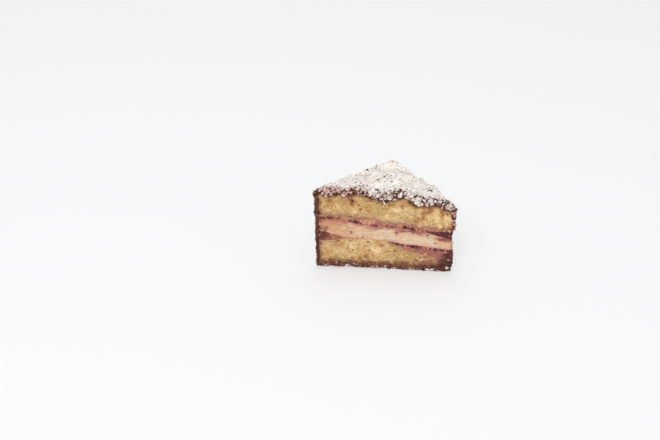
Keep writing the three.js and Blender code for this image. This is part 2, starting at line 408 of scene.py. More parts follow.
def toothed(line, height, seed):
    """A line with teeth as a dragging knife leaves them: noise n with cells of 1.7 mm, sharpened
    to n * |n|^0.5, and listed notches, roughened by finer noise."""
    plain = ragged(line, height=0.4, seed=seed)

    def torn(x, y):
        n = line_noise(x, 1.7, seed + 5, 4)
        rough = 1 + 0.9 * line_noise(x, 0.9, seed + 8, 2)
        notches = sum(h * np.exp(-(((x - a) / w) ** 2)) for a, w, h in NOTCHES)
        return plain(x, y) + height * n * np.sqrt(np.abs(n)) + notches * rough

    return torn


torn_lower_top = ragged(lower_sponge_top, height=0.4, seed=11)
loose_cream_base = ragged(cream_base, height=0.35, seed=12)
torn_cream_top = ragged(cream_top, height=0.5, seed=13)
dragged_edge = toothed(upper_sponge_base, height=0.9, seed=14)
LOWER_FILM, UPPER_FILM = 0.12, 0.3  # the thinnest jam below and above the cream


def torn_cream_base(x, y):
    """The cream's base stays above the lower sponge, with at least a film of jam between."""
    return np.maximum(loose_cream_base(x, y), torn_lower_top(x, y) + LOWER_FILM)


def torn_upper_base(x, y):
    """The dragged edge stays above the cream, with a film of jam between."""
    return np.maximum(dragged_edge(x, y), torn_cream_top(x, y) + UPPER_FILM)


def torn_upper_top(x, y):
    """The upper sponge's top, roughened by noise with cells of 3 mm where it meets the coat."""
    return sponge_top(x, y) + 0.3 * line_noise(x, 3.0, 15)


def coat_floor(x, y):
    """The upper side of the chocolate base, which is flat."""
    return BASE + 0 * x


def tucked_lower_base(x, y):
    """At the cut the crumb reaches down behind the coat's torn edge, so that no groove shows."""
    return BASE - (1.1 + 0.4 * line_noise(x, 2.0, 17)) * smooth(1.5, 0.2, y)


along = np.linspace(-45, 45, 400)
tear = torn_upper_base(along, 0 * along) - torn_cream_top(along, 0 * along)
print("jam above the cream:", tear.min().round(2), "to", tear.max().round(2), "mm thick")

# %% [markdown]
# ## Sponge
# Cut sponge is a foam of torn bubbles. Three sizes of pores could be modelled one by one, but
# cell noise gives all of them at once: only some cells open, so that dense crumb stays between
# them. Soft lumps under the pores catch the light.

# %% Torn foam
def pores(p, cell, share, depth, seed):
    """Round pits with steep sides, in the cells whose own number is below the share. Each is as
    wide as that number makes it: depth * a smooth step over the distance from 0.55 to 0.2."""
    distance, owner = cell_noise(p, cell, seed)
    width = 0.6 + 0.6 * owner / share
    return np.where(owner < share, depth * smooth(0.55, 0.2, distance / width), 0)


def torn_foam(p, seed):
    """Large and middle pores, two finer foams as shallow pits, and lumps that stand out. The
    points are first moved by noise, which makes the round pores uneven. Gives the depth of the
    surface, and the depth of the pits alone."""
    q = p + 0.5 * np.stack([value_noise(p, 1.4, seed + n) for n in (1, 2, 3)], -1)
    large = pores(q, (3.2, 9, 2.4), share=0.16, depth=1.2, seed=seed + 10)
    middle = pores(q, (1.9, 9, 1.4), share=0.35, depth=0.8, seed=seed + 20)
    pits = np.maximum(large, middle)
    foam, _ = cell_noise(q, (1.5, 9, 1.15), seed + 60)
    fine, _ = cell_noise(q, (0.8, 9, 0.66), seed + 70)
    shallow = np.maximum(0.5 * smooth(0.5, 0.2, foam), 0.3 * smooth(0.5, 0.2, fine))
    lumps = 0.35 * layered_noise(p, 5.0, seed + 40, 2)
    lumps = lumps + 0.35 * layered_noise(p, (2.4, 4, 1.7), seed + 45, 4)
    return np.maximum(pits, shallow) - lumps, np.maximum(pits, 0.5 * shallow)


patch = np.stack(np.meshgrid(np.linspace(0, 20, 100), [0.0], np.linspace(0, 20, 100)), -1)
print("pits in a patch of crumb are up to", torn_foam(patch, 100)[1].max().round(2), "mm deep")

# %% [markdown]
# Crumb isn't evenly golden. Pale spots, which are painted highlights where lumps of crumb catch
# the light, toasted crumbs and smudges of chocolate lie where these lists put them, each a soft
# spot with an uneven edge. The spots end up as numbers on the surface, which the finish later
# turns into colour.

# %% Spots on the crumb
def near_points(x, z, points):
    """Sum of soft spots, exp(-((x - a)^2 + (z - b)^2) / r^2), one to each point (a, b, r)."""
    return sum(np.exp(-((x - a) ** 2 + (z - b) ** 2) / r**2) for a, b, r in points)


def uneven_spots(x, z, points, rough, unevenness=0.6):
    """Soft spots times 1 + unevenness * noise, kept between 0 and 1."""
    return np.clip(near_points(x, z, points) * (1 + unevenness * rough), 0, 1)


# The pale spots are painted highlights: light caught by the crumb, laid on as colour.
PALE_HIGHLIGHTS = [  # place, height and radius of each spot, here and in the lists below
    (8, 46.3, 2.2), (14, 47.8, 1.5), (17, 42, 1.4), (23, 42.3, 1.3), (29, 42.3, 1.9), (35, 42.8, 2.0),
    (35, 39.2, 1.3), (40.8, 41.6, 2.0), (44, 41, 1.8), (42.6, 37.4, 1.8), (34.4, 41.8, 1.6),
    (23.2, 35.4, 1.3), (38, 34.8, 1.3), (-33, 47.5, 2), (-6.5, 15.5, 3.0), (-22, 17, 2.4),
    (-4, 15, 1.8), (-38, 44.5, 1.3), (-20, 44, 1.4), (1.5, 42, 1.3), (26.5, 34.3, 0.8),
    (33, 33.9, 1.1), (36.6, 33.5, 1.2), (40.6, 33.2, 1.0),
]
TOASTED = [
    (29.3, 45.8, 2.0), (25.7, 44.8, 1.8), (26, 41, 1.6), (22.6, 38.8, 1.2), (25.6, 50, 1.8),
    (30, 49, 1.8), (38, 46.8, 2.0), (38.4, 44, 1.3), (20.4, 49.6, 1.6), (24.2, 39.6, 1.3),
    (14, 36.3, 1.5), (-38, 51.5, 2.2), (-12.8, 9.4, 1.9), (-16.8, 7, 1.5), (14, 51, 2.0),
    (-2, 18.6, 1.8), (3, 50, 1.2), (-22.5, 49.4, 1.3), (11, 49.5, 1.4), (20.4, 38.5, 1.2),
    (22.4, 41.2, 1.1),
]
SMUDGES = [
    (-21.8, 51.6, 1.7), (-23.5, 53.8, 1.7), (-27.6, 54, 1.7), (-38, 54.5, 1.5), (-10, 53, 1.2),
    (44, 33.5, 1.6),
]
DARK_CORNER = [(43.5, 9, 5.2), (43, 14, 2.6), (40.5, 5, 3.2)]
print("spots:", len(PALE_HIGHLIGHTS), "pale,", len(TOASTED), "toasted and", len(SMUDGES), "smudged")

# %% [markdown]
# The chocolate and the jam soak into the crumb from the edges. How far they come depends on the
# distance to the edge, made uneven by noise. The lower layer has jam above it and chocolate
# below, the upper one has them the other way round.

# %% Soaked edges
def distances(x, up, height):
    """How far each point of a layer's face is from the four edges, in millimetres."""
    end = plan_end(LAYER_INSET)
    return {"top": (1 - up) * height, "base": up * height, "left": end + x, "right": end - x}


def chocolate_soak(to_coat, rough):
    """Chocolate comes in a smooth step over 4.5 mm."""
    return smooth(4.2, -0.3, to_coat + 1.1 * rough)


def jam_soak(to_jam, reach, strength, rough):
    """Jam comes in a smooth step over its reach, times its strength."""
    return strength * smooth(1.05, 0.2, to_jam / reach + 0.35 * rough)


def lower_soaking(x, z, near, rough):
    """Jam from above reaches deepest on the right, chocolate comes from the sides and from below,
    and both have run together in the dark right corner."""
    to_coat = np.minimum(np.minimum(near["left"], near["right"]), near["base"] - 1.9)
    reach = 0.6 + 3.8 * smooth(0, 8, x) + 5.0 * smooth(16, 32, x) + 4.0 * smooth(-28, -36, x)
    strength = 0.5 + 0.5 * smooth(12, 26, x)
    corner = 0.85 * smooth(30, 7, np.hypot(near["right"], 1.2 * near["base"]))
    return {
        "coat_soak": chocolate_soak(to_coat, rough),
        "jam_soak": np.maximum(jam_soak(near["top"], reach, strength, rough), corner),
        "bleed": smooth(3.2, 0.4, near["top"] + 0.8 * rough) * smooth(9, 17, x),
        "torn": 0 * x,
        "sunk": uneven_spots(x, z, DARK_CORNER, rough, 0.4),
    }


def upper_soaking(x, z, near, rough):
    """Jam from below is thin and even, chocolate comes from the sides and from above, and the
    torn lower edge is pale with cream."""
    to_coat = np.minimum(near["left"], np.minimum(near["right"] + 2.2, near["top"] + 0.6))
    reach = 1.5 + 1.5 * smooth(28, 38, x)
    strength = 1.0 - 0.3 * smooth(-24, -32, x)
    return {
        "coat_soak": chocolate_soak(to_coat, rough),
        "jam_soak": jam_soak(near["base"], reach, strength, rough),
        "bleed": smooth(3.2, 0.4, near["base"] + 0.8 * rough) * (0.25 * smooth(4, 24, x)),
        "torn": smooth(4.2, 1.6, near["base"] + 0.8 * rough) * 0.7,
        "sunk": 0 * x,
    }


print("layers of", round(2 * plan_end(LAYER_INSET), 1), "mm, soaked at all edges")

# %% [markdown]
# The lower layer is evenly light. The upper one is duller at the left, lightest near the middle,
# and has a dull line above its torn edge at the right.

# %% Sponge relief
def lower_lightness(x, near, rough):
    """The same everywhere."""
    return 0.5


def upper_lightness(x, near, rough):
    """Steps along the cut, less a soft line about 3 mm above the torn edge."""
    along_cut = 0.54 - 0.18 * smooth(-4, -22, x) + 0.06 * smooth(16, 6, np.abs(x - 4))
    along_cut = along_cut - 0.03 * smooth(18, 26, x)
    above_tear = np.exp(-(((near["base"] - 3.2 + 0.8 * rough) / 1.3) ** 2))
    return along_cut - 0.45 * smooth(14, 24, x) * above_tear


def sponge_relief(seed, soaking, lightness):
    """A relief for a sponge layer: foam for the depth, and as numbers the depth of the pits, which
    the finish paints darker as shade, a slow change of hue, the lightness with blotches, the spots
    and the soaked edges."""

    def relief(p, up, z0, z1):
        x, z = p[..., 0], p[..., 2]
        near = distances(x, up, z1 - z0)
        rough = layered_noise(p, 2.6, seed + 50)
        depth, pits = torn_foam(p, seed)
        blotches = layered_noise(p, (5.0, 9, 3.6), seed + 80, 5)
        blotches = blotches * (0.65 + 0.5 * smooth(-12, 8, x) + 0.35 * smooth(12, 24, x))
        return depth, {
            "pit": pits,
            "hue": np.clip(0.5 + 0.6 * layered_noise(p, (6.0, 9, 4.5), seed + 90, 4), 0, 1),
            "tone": np.clip(lightness(x, near, rough) + 0.55 * blotches, 0, 1),
            # pale: painted highlights on the crumb
            "pale": uneven_spots(x, z, PALE_HIGHLIGHTS, rough),
            "toasted": uneven_spots(x, z, TOASTED, rough),
            "smudge": uneven_spots(x, z, SMUDGES, rough),
            **soaking(x, z, near, rough),
        }

    return relief


lower_crumb = make_layer(
    "lower_crumb", "sponge_lower", tucked_lower_base, torn_lower_top,
    step=0.22, front_rows=80, relief=sponge_relief(100, lower_soaking, lower_lightness),
)
upper_crumb = make_layer(
    "upper_crumb", "sponge_upper", torn_upper_base, torn_upper_top,
    step=0.22, front_rows=90, relief=sponge_relief(200, upper_soaking, upper_lightness),
)

# %% [markdown]
# ## Cream
# The knife drags the cream along, so its face has long shallow streaks and a few small bubbles.
# Jam is dragged down into its upper part, which the finish shows as a pink-orange smear. How far
# the smear reaches and how dark it gets is set along the cut, like the lines of the layers.

# %% Cream
CREAM_SPOTS = [
    (-44.5, 36.6, 2.6), (-44.5, 30, 2.2), (-40, 30.7, 1.2), (-41, 28.4, 1.4), (7.8, 29, 0.9),
    (35, 22, 0.8), (29.2, 27.6, 1.0), (-14.9, 24.6, 0.7), (-19, 23.6, 0.8), (12, 30, 1.0),
    (19.5, 29.4, 1.4), (-23, 27.5, 0.9),
]
CREAM_AT = [-48, -40, -34, -28, -22, -16, -10, -4, 2, 8, 14, 20, 26, 32, 38, 43, 48]
smear_reach = curve_through(
    CREAM_AT, [3, 2, 4.2, 4.4, 4.8, 2.4, 4.2, 3.4, 3.2, 6.2, 5.4, 4.2, 3.2, 3.6, 5.6, 4, 3]
)
smear_depth = curve_through(
    CREAM_AT,
    [0.7, 0.2, 0.2, 0.3, 0.35, 0.3, 0.25, 0.55, 0.5, 0.5, 0.6, 0.9, 0.6, 0.4, 1.1, 1.1, 1.0],
)


def cream_relief(p, up, z0, z1):
    """Long shallow streaks and small bubbles. The smear fades over its reach below the jam, and
    its darkest part over half of that."""
    x, z = p[..., 0], p[..., 2]
    streaks = 0.4 * layered_noise(p, (9, 6, 1.5), 301, 4) + 0.25 * layered_noise(p, 1.8, 305, 4)
    large = pores(p, (2.6, 9, 2.0), share=0.25, depth=0.7, seed=310)
    small = pores(p, (1.3, 9, 1.0), share=0.3, depth=0.35, seed=315)
    wander = layered_noise(p, (4.0, 5, 1.6), 320, 4)
    dragged = layered_noise(p, (9, 5, 1.3), 340, 4)
    below_jam = (1 - up) * (z1 - z0) / smear_reach(x)
    above_jam = up * (z1 - z0) + 0.8 * layered_noise(p, (4, 5, 1.2), 330)
    smear = smooth(1.1, 0.1, below_jam + 0.35 * wander) + 0.35 * smooth(0.15, 0.9, dragged)
    deep = smear_depth(x) * smooth(0.8, 0.1, below_jam + 0.5 * wander)
    in_middle = smooth(-14, 0, x) * smooth(37, 30, x + 2 * wander)
    return 0.15 - streaks + np.maximum(large, small), {
        "smear": np.clip(smear, 0, 1),
        "deep": np.clip(deep + near_points(x, z, CREAM_SPOTS), 0, 1),
        "stain": smooth(1.8, 0.0, above_jam) * smooth(-2, 8, x),
        "left": smooth(-22, -38, x + 4 * wander),
        "lip": smooth(1.3, 0.4, up * (z1 - z0)) * smooth(-30, -38, x),
        "right": smooth(33, 42, x + 2 * wander),
        "pale": in_middle * (0.8 + 0.4 * dragged),
    }


cream_filling = make_layer(
    "cream_filling", "cream", torn_cream_base, torn_cream_top,
    step=0.3, front_rows=40, relief=cream_relief,
)

# %% [markdown]
# ## Jam
# Jam is wet and lumpy, so it bulges a little and shines. It is dark and thick at some places and
# a thin brownish smear at others. Five curves along the cut say how dark it is everywhere, where
# its darkest line runs, how wide and how strong that line is, and how much crumb stands across
# it like the teeth of a comb.

# %% Jam relief
def jam_relief(places, heights, seed):
    """Lumpy jam. Its depth of colour is a resting level plus strength * exp(-(d/half)^2), with d
    the height above the dark line, all set by place along the cut and broken up by noise. Crumb
    between the teeth makes it paler and stands out by a third of a millimetre."""
    rest, dark_line, half, strength, teeth = (
        curve_through(places, heights[key]) for key in ("rest", "line", "half", "strength", "teeth")
    )

    def relief(p, up, z0, z1):
        x, z = p[..., 0], p[..., 2]
        lumps = 0.35 * layered_noise(p, 2.4, seed, 4)
        bulge = 0.3 * np.sqrt(np.maximum(4 * up * (1 - up), 0)) * smooth(0.3, 2.0, z1 - z0)
        wander = layered_noise(p, (2.2, 4, 2.6), seed + 9, 4)
        comb = smooth(-0.25, 0.2, layered_noise(p, (1.5, 5, 3.4), seed + 17, 3))
        comb = 1 - teeth(x) * (1 - comb)
        band = np.exp(-(((z - dark_line(x) + 0.5 * wander) / half(x)) ** 2))
        thin = 1.15 * rest(x) * (0.45 + 0.55 * comb) * (1 + 0.6 * wander)
        thick = strength(x) * band * comb * (1 + 0.35 * wander)
        tufts = 0.35 * (1 - comb)
        return 0.1 - lumps - bulge - tufts, {
            "dark": np.clip(thin + thick, 0, 1),
            "brown": smooth(-12, -36, x),
        }

    return relief


# %% [markdown]
# Under the upper sponge the jam is a thin line with a comb of crumb at the left, and a thick dark
# band at the right.

# %% Jam above the cream
UPPER_JAM_AT = [-48, -44, -40, -34, -28, -22, -16, -10, -4, 2, 8, 14, 20, 26, 32, 38, 43, 48]
UPPER_JAM = {
    "rest": [0.62, 0.52, 0.38, 0.32, 0.25, 0.27, 0.28, 0.16, 0.26, 0.32, 0.2, 0.36, 0.42, 0.34,
             0.56, 0.84, 0.95, 0.92],
    "line": [39.6, 39.6, 38.8, 39.4, 36.6, 36.8, 34.8, 33.8, 33.9, 33.5, 33.8, 34, 33, 31.2,
             30.3, 29.4, 30, 29.6],
    "half": [1.6, 1.6, 1.6, 1.4, 1.2, 1.4, 1.2, 1.2, 1.2, 1.2, 1.1, 1.9, 1.5, 1.3,
             1.8, 2.2, 2.4, 2.4],
    "strength": [0.4, 0.55, 0.85, 0.8, 0.75, 0.9, 0.5, 0.35, 0.45, 0.5, 0.35, 0.55, 0.65, 0.5,
                 0.5, 0.5, 0.4, 0.4],
    "teeth": [0.3, 0.4, 0.6, 0.7, 0.8, 0.8, 0.8, 0.8, 0.8, 0.7, 0.7, 0.5, 0.5, 0.7,
              0.6, 0.3, 0.2, 0.2],
}
jam_above_cream = make_layer(
    "jam_above_cream", "jam_upper", torn_cream_top, torn_upper_base,
    step=0.25, front_rows=26, relief=jam_relief(UPPER_JAM_AT, UPPER_JAM, seed=401),
)

# %% [markdown]
# Under the cream the jam has run into a dark wedge at the left end, hardly shows in the middle,
# and is a dark line with gaps at the right.

# %% Jam below the cream
LOWER_JAM_AT = [-48, -42, -37, -31, -24, 0, 4, 9, 12.5, 14.2, 16.5, 22, 28, 36, 44, 48]
LOWER_JAM = {
    "rest": [0.88, 0.6, 0.36, 0.25, 0.12, 0.05, 0.2, 0.34, 0.3, 0.12, 0.42, 0.46, 0.36, 0.36,
             0.45, 0.6],
    "line": [26.4, 26.6, 25.4, 23.6, 23, 22, 20.8, 20, 19.6, 19.5, 19.2, 18.7, 18.2, 17.4,
             16.9, 16.6],
    "half": [2.6, 2.2, 1.8, 1.4, 1, 1, 1.0, 1.0, 0.9, 0.8, 1.1, 1.2, 1.1, 1.1, 1.2, 1.3],
    "strength": [0.5, 0.5, 0.3, 0.2, 0.05, 0, 0.4, 0.6, 0.5, 0, 0.5, 0.55, 0.45, 0.6, 0.8, 0.7],
    "teeth": [0, 0, 0.3, 0.3, 0.3, 0.3, 0.2, 0.1, 0.1, 0.1, 0.1, 0.3, 0.95, 0.95, 0.8, 0.5],
}
jam_below_cream = make_layer(
    "jam_below_cream", "jam_lower", torn_lower_top, torn_cream_base,
    step=0.25, front_rows=22, relief=jam_relief(LOWER_JAM_AT, LOWER_JAM, seed=451),
)

# %% [markdown]
# ## The chocolate coat
# The coat is a shell: outer walls, a rim where the knife went through it, and inner walls that
# hold the layers. Its sleeve runs the other way: each ring goes round the section, up the left
# wall, over the top, down the right wall and back along the base. The rings start at the uncut
# corner, come forward outside, turn round the rim and go back inside.

# %% Rings of the coat
RING = {"left": 120, "top": 230, "right": 110, "base": 150}  # points on each stretch of a ring


def section_ring(y, inset, base, top):
    """One ring of the section at each depth y. The walls stand at plus and minus the plan's half
    width, and base and top give the heights; points are spread evenly along each of the four
    stretches."""
    y = np.asarray(y, float)[:, None]
    half = np.maximum(plan_extent(y, inset), 0.1)
    up, across, down, back = (np.linspace(0, 1, n, endpoint=False)[None] for n in RING.values())
    sides = [-half + 0 * up, half * (2 * across - 1), half + 0 * down, half * (1 - 2 * back)]
    x = np.concatenate(sides, 1)
    deep = y + 0 * x
    low, high = base(x, deep), top(x, deep)
    share = np.concatenate([up, 1 + 0 * across, 1 - down, 0 * back], 1) + 0 * x
    return np.stack([x, deep, low + (high - low) * share], -1)


def outer_low(x, y):
    """The base is flat with a rounded edge. At the cut its edge curls up a little on the left,
    and the right corner is rounder."""
    curl = 0.9 * smooth(-44, -34, x) * smooth(14, -2, x) * smooth(3.5, 0, y)
    curl = curl * (1 + 0.4 * line_noise(x, 5.0, 19))
    radius = BASE_ROUND + 3.0 * smooth(34, 44, x) * smooth(10, 3, y)
    return 0.1 + edge_drop(radius, x, y) + curl


def outer_high(x, y):
    """The top of the chocolate, lowered along the two straight sides by the rounded edge."""
    return coat_top(x, y) - edge_drop(TOP_ROUND, x, y)


OUTER_INSET = 0.25  # the coat's own surface, so that the coconut on it stays in the plan
far_outer, far_inner = plan_end(OUTER_INSET) - 0.02, plan_end(WALL) - 0.05
turn = np.linspace(0, np.pi / 4, 7)
round_y = far_outer - (CORNER - OUTER_INSET) * (1 - np.cos(turn))
outside_y = np.concatenate([round_y[:-1], round_y[-1] * np.linspace(1, 0, 46)])
inside_y = np.array([0.3, 1, 2.5, 5, 10, 18, 28, 38, far_inner])
outer = section_ring(outside_y, OUTER_INSET, outer_low, outer_high)
inner = section_ring(inside_y, WALL, coat_floor, sponge_top)
print("coat rings:", outer.shape[:2], "outside,", inner.shape[:2], "inside")

# %% [markdown]
# Chocolate sets in lumps. They are pushed out along the normal, which is worked out from the
# neighbouring rings, and fade at the base so that the cake stands flat. Near the cut the walls
# also bulge and sink in a few listed places.

# %% Lumps on the coat
def unit(v):
    """Vectors of length 1: v divided by its own length, or by a tiny number where that is 0."""
    return v / np.maximum(np.linalg.norm(v, axis=-1, keepdims=True), 1e-9)


def grid_normals(grid):
    """Normals of a sleeve: the cross product of the differences along and across the rings."""
    along_rings = np.gradient(grid, axis=0)
    round_ring = np.roll(grid, -1, 1) - np.roll(grid, 1, 1)
    return unit(np.cross(round_ring, along_rings))


NUBS = [  # place, height, radius and how far the wall stands out there
    (-48, 56.6, 1.9, 1.5), (-48, 42, 2.0, 0.5), (48, 28, 4.6, -1.7), (48, 20, 4.5, -0.8),
    (48, 44, 9.0, -0.6), (49, 1.8, 2.6, -2.0),
]
normal = grid_normals(outer)
outward = -np.sign(normal[30, RING["left"] // 2, 0])  # the left wall has to look towards -x
x, y, z = np.moveaxis(outer, -1, 0)
on_top = smooth(0.3, 0.7, normal[..., 2] * outward) * smooth(1, 5, y)
lumps = 0.35 * layered_noise(outer, 4.5, 501, 4) + 0.8 * layered_noise(outer, 8.0, 505, 2) * on_top
nubs = sum(h * near_points(x, z, [(a, b, r)]) for a, b, r, h in NUBS) * smooth(9, 2, y)
keep_flat = smooth(0.0, 2.5, z)
outer = outer + normal * outward * ((lumps + nubs) * keep_flat)[..., None]
print("lumps from", lumps.min().round(2), "to", lumps.max().round(2), "mm")

# %% [markdown]
# The rim is the most visible chocolate. It is torn: it stands a little proud in lumps, and its
# inner edge wanders over the sponge, most of all at the low right corner, where the knife has
# spread it.

# %% The cut rim
RIM_ROWS = 22
SPREAD = [  # place, height, radius and how far the rim reaches over the layers there
    (46.5, 10, 5.0, 2.0), (44, 4, 4, 2.0), (-46, 25, 3, 1.4), (-46, 40, 3, 1.6), (30, 3, 6, 0.6),
    (-30, 3, 8, 0.3), (46, 38, 6, 0.7), (46, 22, 4, -1.0), (-12, 3, 9, -0.7), (8, 3, 10, -0.7),
]
MIDDLE = np.array([0.0, 0.0, 30.0])  # the rim spreads towards this point of the cut


def spread_inwards(ring):
    """How far the rim reaches over the layers at each point: noise with cells of 2.4 mm and of
    0.9 mm, and the listed spreads."""
    x, z = ring[..., 0], ring[..., 2]
    by_hand = sum(reach * near_points(x, z, [(a, b, r)]) for a, b, r, reach in SPREAD)
    wander = 0.2 + 0.8 * layered_noise(ring, 2.4, 530, 4) + 0.5 * layered_noise(ring, 0.9, 535, 2)
    return wander + by_hand


across_rim = np.linspace(0, 1, RIM_ROWS + 2)[1:-1][:, None, None]
towards = unit((MIDDLE - inner[:1]) * (1, 0, 1))
inner_edge = inner[:1] + towards * spread_inwards(inner[:1])[..., None]
rim = outer[-1:] * (1 - across_rim) + inner_edge * across_rim
lip = 0.4 * np.sin(np.pi * across_rim[..., 0]) + 0.8 * layered_noise(rim, 2.0, 520, 4)
rim[..., 1] = -0.2 - lip * smooth(1.02, 0.7, across_rim[..., 0])
rim[-1, :, 1] = 0.3  # the last row is tucked behind the layers' faces
inner[0, :, 1] += 0.6
print("rim stands out by up to", -rim[..., 1].min().round(2), "mm")

# %% [markdown]
# The finish needs to know where coconut dust has whitened the chocolate, where cream was drawn
# over the right wall, where the base is milky with crumb, and where the coat at the upper left
# is so thin that the sponge shines through.

# %% Coat surface
coat_points = np.concatenate([outer, rim, inner])
x, y, z = np.moveaxis(coat_points, -1, 0)
up_facing = np.concatenate([normal[..., 2] * outward, 0 * rim[..., 0], 0 * inner[..., 0]])
dusty = smooth(-0.9, -0.4, layered_noise(coat_points, 2.2, 540))
milky = smooth(-0.5, 0.6, layered_noise(coat_points, 3.0, 545))
thin = smooth(-0.8, 0.1, layered_noise(coat_points, 2.6, 548))
coat_numbers = {
    "dusted": smooth(0.3, 0.7, up_facing) * smooth(2.5, 7, y) * dusty,
    "creamed": smooth(42, 44.5, x) * smooth(17.4, 18.8, z) * smooth(26.2, 25.0, z) * smooth(3, 0.5, y),
    "milky": smooth(5, 2.5, z) * smooth(1.5, 0.3, y) * milky,
    "thin": smooth(-14, -28, x) * smooth(52, 55, z) * smooth(3, 1, y) * thin,
}
quads, ends = close_sleeve(*coat_points.shape[:2])
chocolate_coat = mesh_piece(
    "chocolate_coat", set_in_place(coat_points), quads, ends, coat_numbers, "coating"
)

# %% [markdown]
# ## Coconut
# Desiccated coconut is a mix of thin shreds, flat chips, fine crumbs and clumps that chocolate
# has balled up. Hair or instanced objects could spread them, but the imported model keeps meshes
# only. So each kind is one small template of a few faces, copied many times into one mesh.

# %% Shred and chip
def shred_template():
    """A strip with three stations and a rectangular section, narrow at both ends, length 1."""
    stations = np.array([[-0.5, 0.55], [0.0, 1.0], [0.5, 0.5]])
    corners = np.array([[-0.5, -0.5], [0.5, -0.5], [0.5, 0.5], [-0.5, 0.5]])
    points = [(s, c[0] * w, c[1] * (0.6 + 0.4 * w)) for s, w in stations for c in corners]
    sides = [
        (4 * s + k, 4 * s + 4 + k, 4 * s + 4 + (k + 1) % 4, 4 * s + (k + 1) % 4)
        for s in (0, 1) for k in range(4)
    ]
    return np.array(points), np.array(sides + [(0, 1, 2, 3), (11, 10, 9, 8)])


def chip_template():
    """A six-sided plate, its upper face a little smaller, split into quads."""
    turn = np.linspace(0, 2 * np.pi, 6, endpoint=False)
    rim_points = np.stack([0.5 * np.cos(turn), 0.5 * np.sin(turn)], -1)
    low = np.concatenate([rim_points, np.full((6, 1), -0.5)], 1)
    high = np.concatenate([rim_points * 0.82, np.full((6, 1), 0.5)], 1)
    sides = [(k, (k + 1) % 6, 6 + (k + 1) % 6, 6 + k) for k in range(6)]
    plates = [(3, 2, 1, 0), (0, 5, 4, 3), (6, 7, 8, 9), (9, 10, 11, 6)]
    return np.concatenate([low, high]), np.array(sides + plates)


SHRED, CHIP = shred_template(), chip_template()
print("a shred has", len(SHRED[1]), "faces and a chip", len(CHIP[1]))

# %% [markdown]
# A crumb is a cube pulled onto a ball, and a clump is the same with each side in four parts.
# Random shifts of the corners, made when they are copied, turn both into lumpy grains.

# %% Crumb and clump
def crumb_template():
    """A lumpy grain: a cube with its corners pulled onto a ball."""
    corners = np.array([(x, y, z) for z in (-1, 1) for y in (-1, 1) for x in (-1, 1)], float)
    faces = [(0, 2, 3, 1), (4, 5, 7, 6), (0, 1, 5, 4), (2, 6, 7, 3), (0, 4, 6, 2), (1, 3, 7, 5)]
    return corners / np.sqrt(3) / 2, np.array(faces)


def clump_template():
    """A rounded clump: three by three points on each side of a cube, pulled onto a ball."""
    steps = np.array([-1.0, 0.0, 1.0])
    sides = []
    for axis in range(3):
        for sign in (-1, 1):
            a, b = np.meshgrid(steps, steps * sign, indexing="ij")
            side = np.stack([np.full(9, float(sign)), a.ravel(), b.ravel()], -1)
            sides.append(np.roll(side, axis, 1))
    points, place = np.unique(np.concatenate(sides), axis=0, return_inverse=True)
    quads = [(s + r, s + r + 3, s + r + 4, s + r + 1) for s in range(0, 54, 9) for r in (0, 1, 3, 4)]
    return unit(points) / 2, place.reshape(-1)[np.array(quads)]


CRUMB, CLUMP = crumb_template(), clump_template()
print("a crumb has", len(CRUMB[1]), "faces and a clump", len(CLUMP[1]))

# %% [markdown]
# The copies are made as whole arrays: template times size, turned by a matrix, plus a place.
# Coconut that would stick out too far is pressed back softly, as a hand does that pats it on.

# %% Copies of a template
FRONT_LIMIT, BACK_LIMIT, TOP_LIMIT = 1.2, 48.8, 62.8  # pieces are pressed together beyond these
FRONT_ROOM, BACK_ROOM, TOP_ROOM = 0.6, 0.5, 0.6  # and never get further past them than these
FLOOR_GAP = 0.02


def turn_matrices(normal, tilt, spin):
    """Axes of a lying piece: its flat side looks along the normal leaned by the tilt vector, and
    it is spun about that by the angle. Each matrix holds length, width and thickness axes."""
    n = unit(normal + tilt)
    helper = np.where(np.abs(n[:, 2:]) < 0.9, (0.0, 0.0, 1.0), (1.0, 0.0, 0.0))
    a = unit(np.cross(helper, n))
    b = np.cross(n, a)
    c, s = np.cos(spin)[:, None], np.sin(spin)[:, None]
    return np.stack([a * c + b * s, b * c - a * s, n], -1)


def squeeze(value, limit, room):
    """Values beyond the limit are pressed together: limit + room * (1 - exp(-(value - limit) /
    room)), so that nothing gets further than the limit plus the room and nothing is cut flat."""
    over = np.maximum(value - limit, 0)
    return np.where(value > limit, limit + room * (1 - np.exp(-over / room)), value)


def scatter(name, template, lots, jitter=0.08):
    """Copies of a template in one mesh: point = place + turn * (size * (template + jitter)),
    with the ends lifted by bend * t^2 where t runs from -1 to 1 along the length."""
    lot = {key: np.concatenate([each[key] for each in lots]) for key in lots[0]}
    shape, faces = template
    count, corners = len(lot["place"]), len(shape)
    local = shape[None] + np.random.default_rng(count).uniform(-jitter, jitter, (count, corners, 3))
    local = local * lot["size"][:, None, :]
    local[..., 2] += lot["bend"][:, None] * (2 * shape[None, :, 0]) ** 2
    points = lot["place"][:, None] + np.einsum("nij,nvj->nvi", lot["turn"], local)
    points[..., 1] = squeeze(points[..., 1], BACK_LIMIT, BACK_ROOM)
    points[..., 1] = -squeeze(-points[..., 1], FRONT_LIMIT, FRONT_ROOM)
    points[..., 2] = np.maximum(squeeze(points[..., 2], TOP_LIMIT, TOP_ROOM), FLOOR_GAP)
    quads = (faces[None] + corners * np.arange(count)[:, None, None]).reshape(-1, 4)
    numbers = {key: np.repeat(lot[key], corners) for key in ("tone", "stain")}
    return mesh_piece(name, set_in_place(points), quads, (), numbers, None, smooth_faces=False)


print("5 mm past a limit becomes", round(float(squeeze(5.0, 0.0, TOP_ROOM)), 2), "mm")

# %% [markdown]
# ## Where the coconut lies
# A draw picks a point of the coat's own grid, with the chance of each face in proportion to its
# area and to a weight, so the cover is even although the grid is not. Thick cover means that
# many draws are lifted a little.

# %% Drawing places
rng = np.random.default_rng(41)


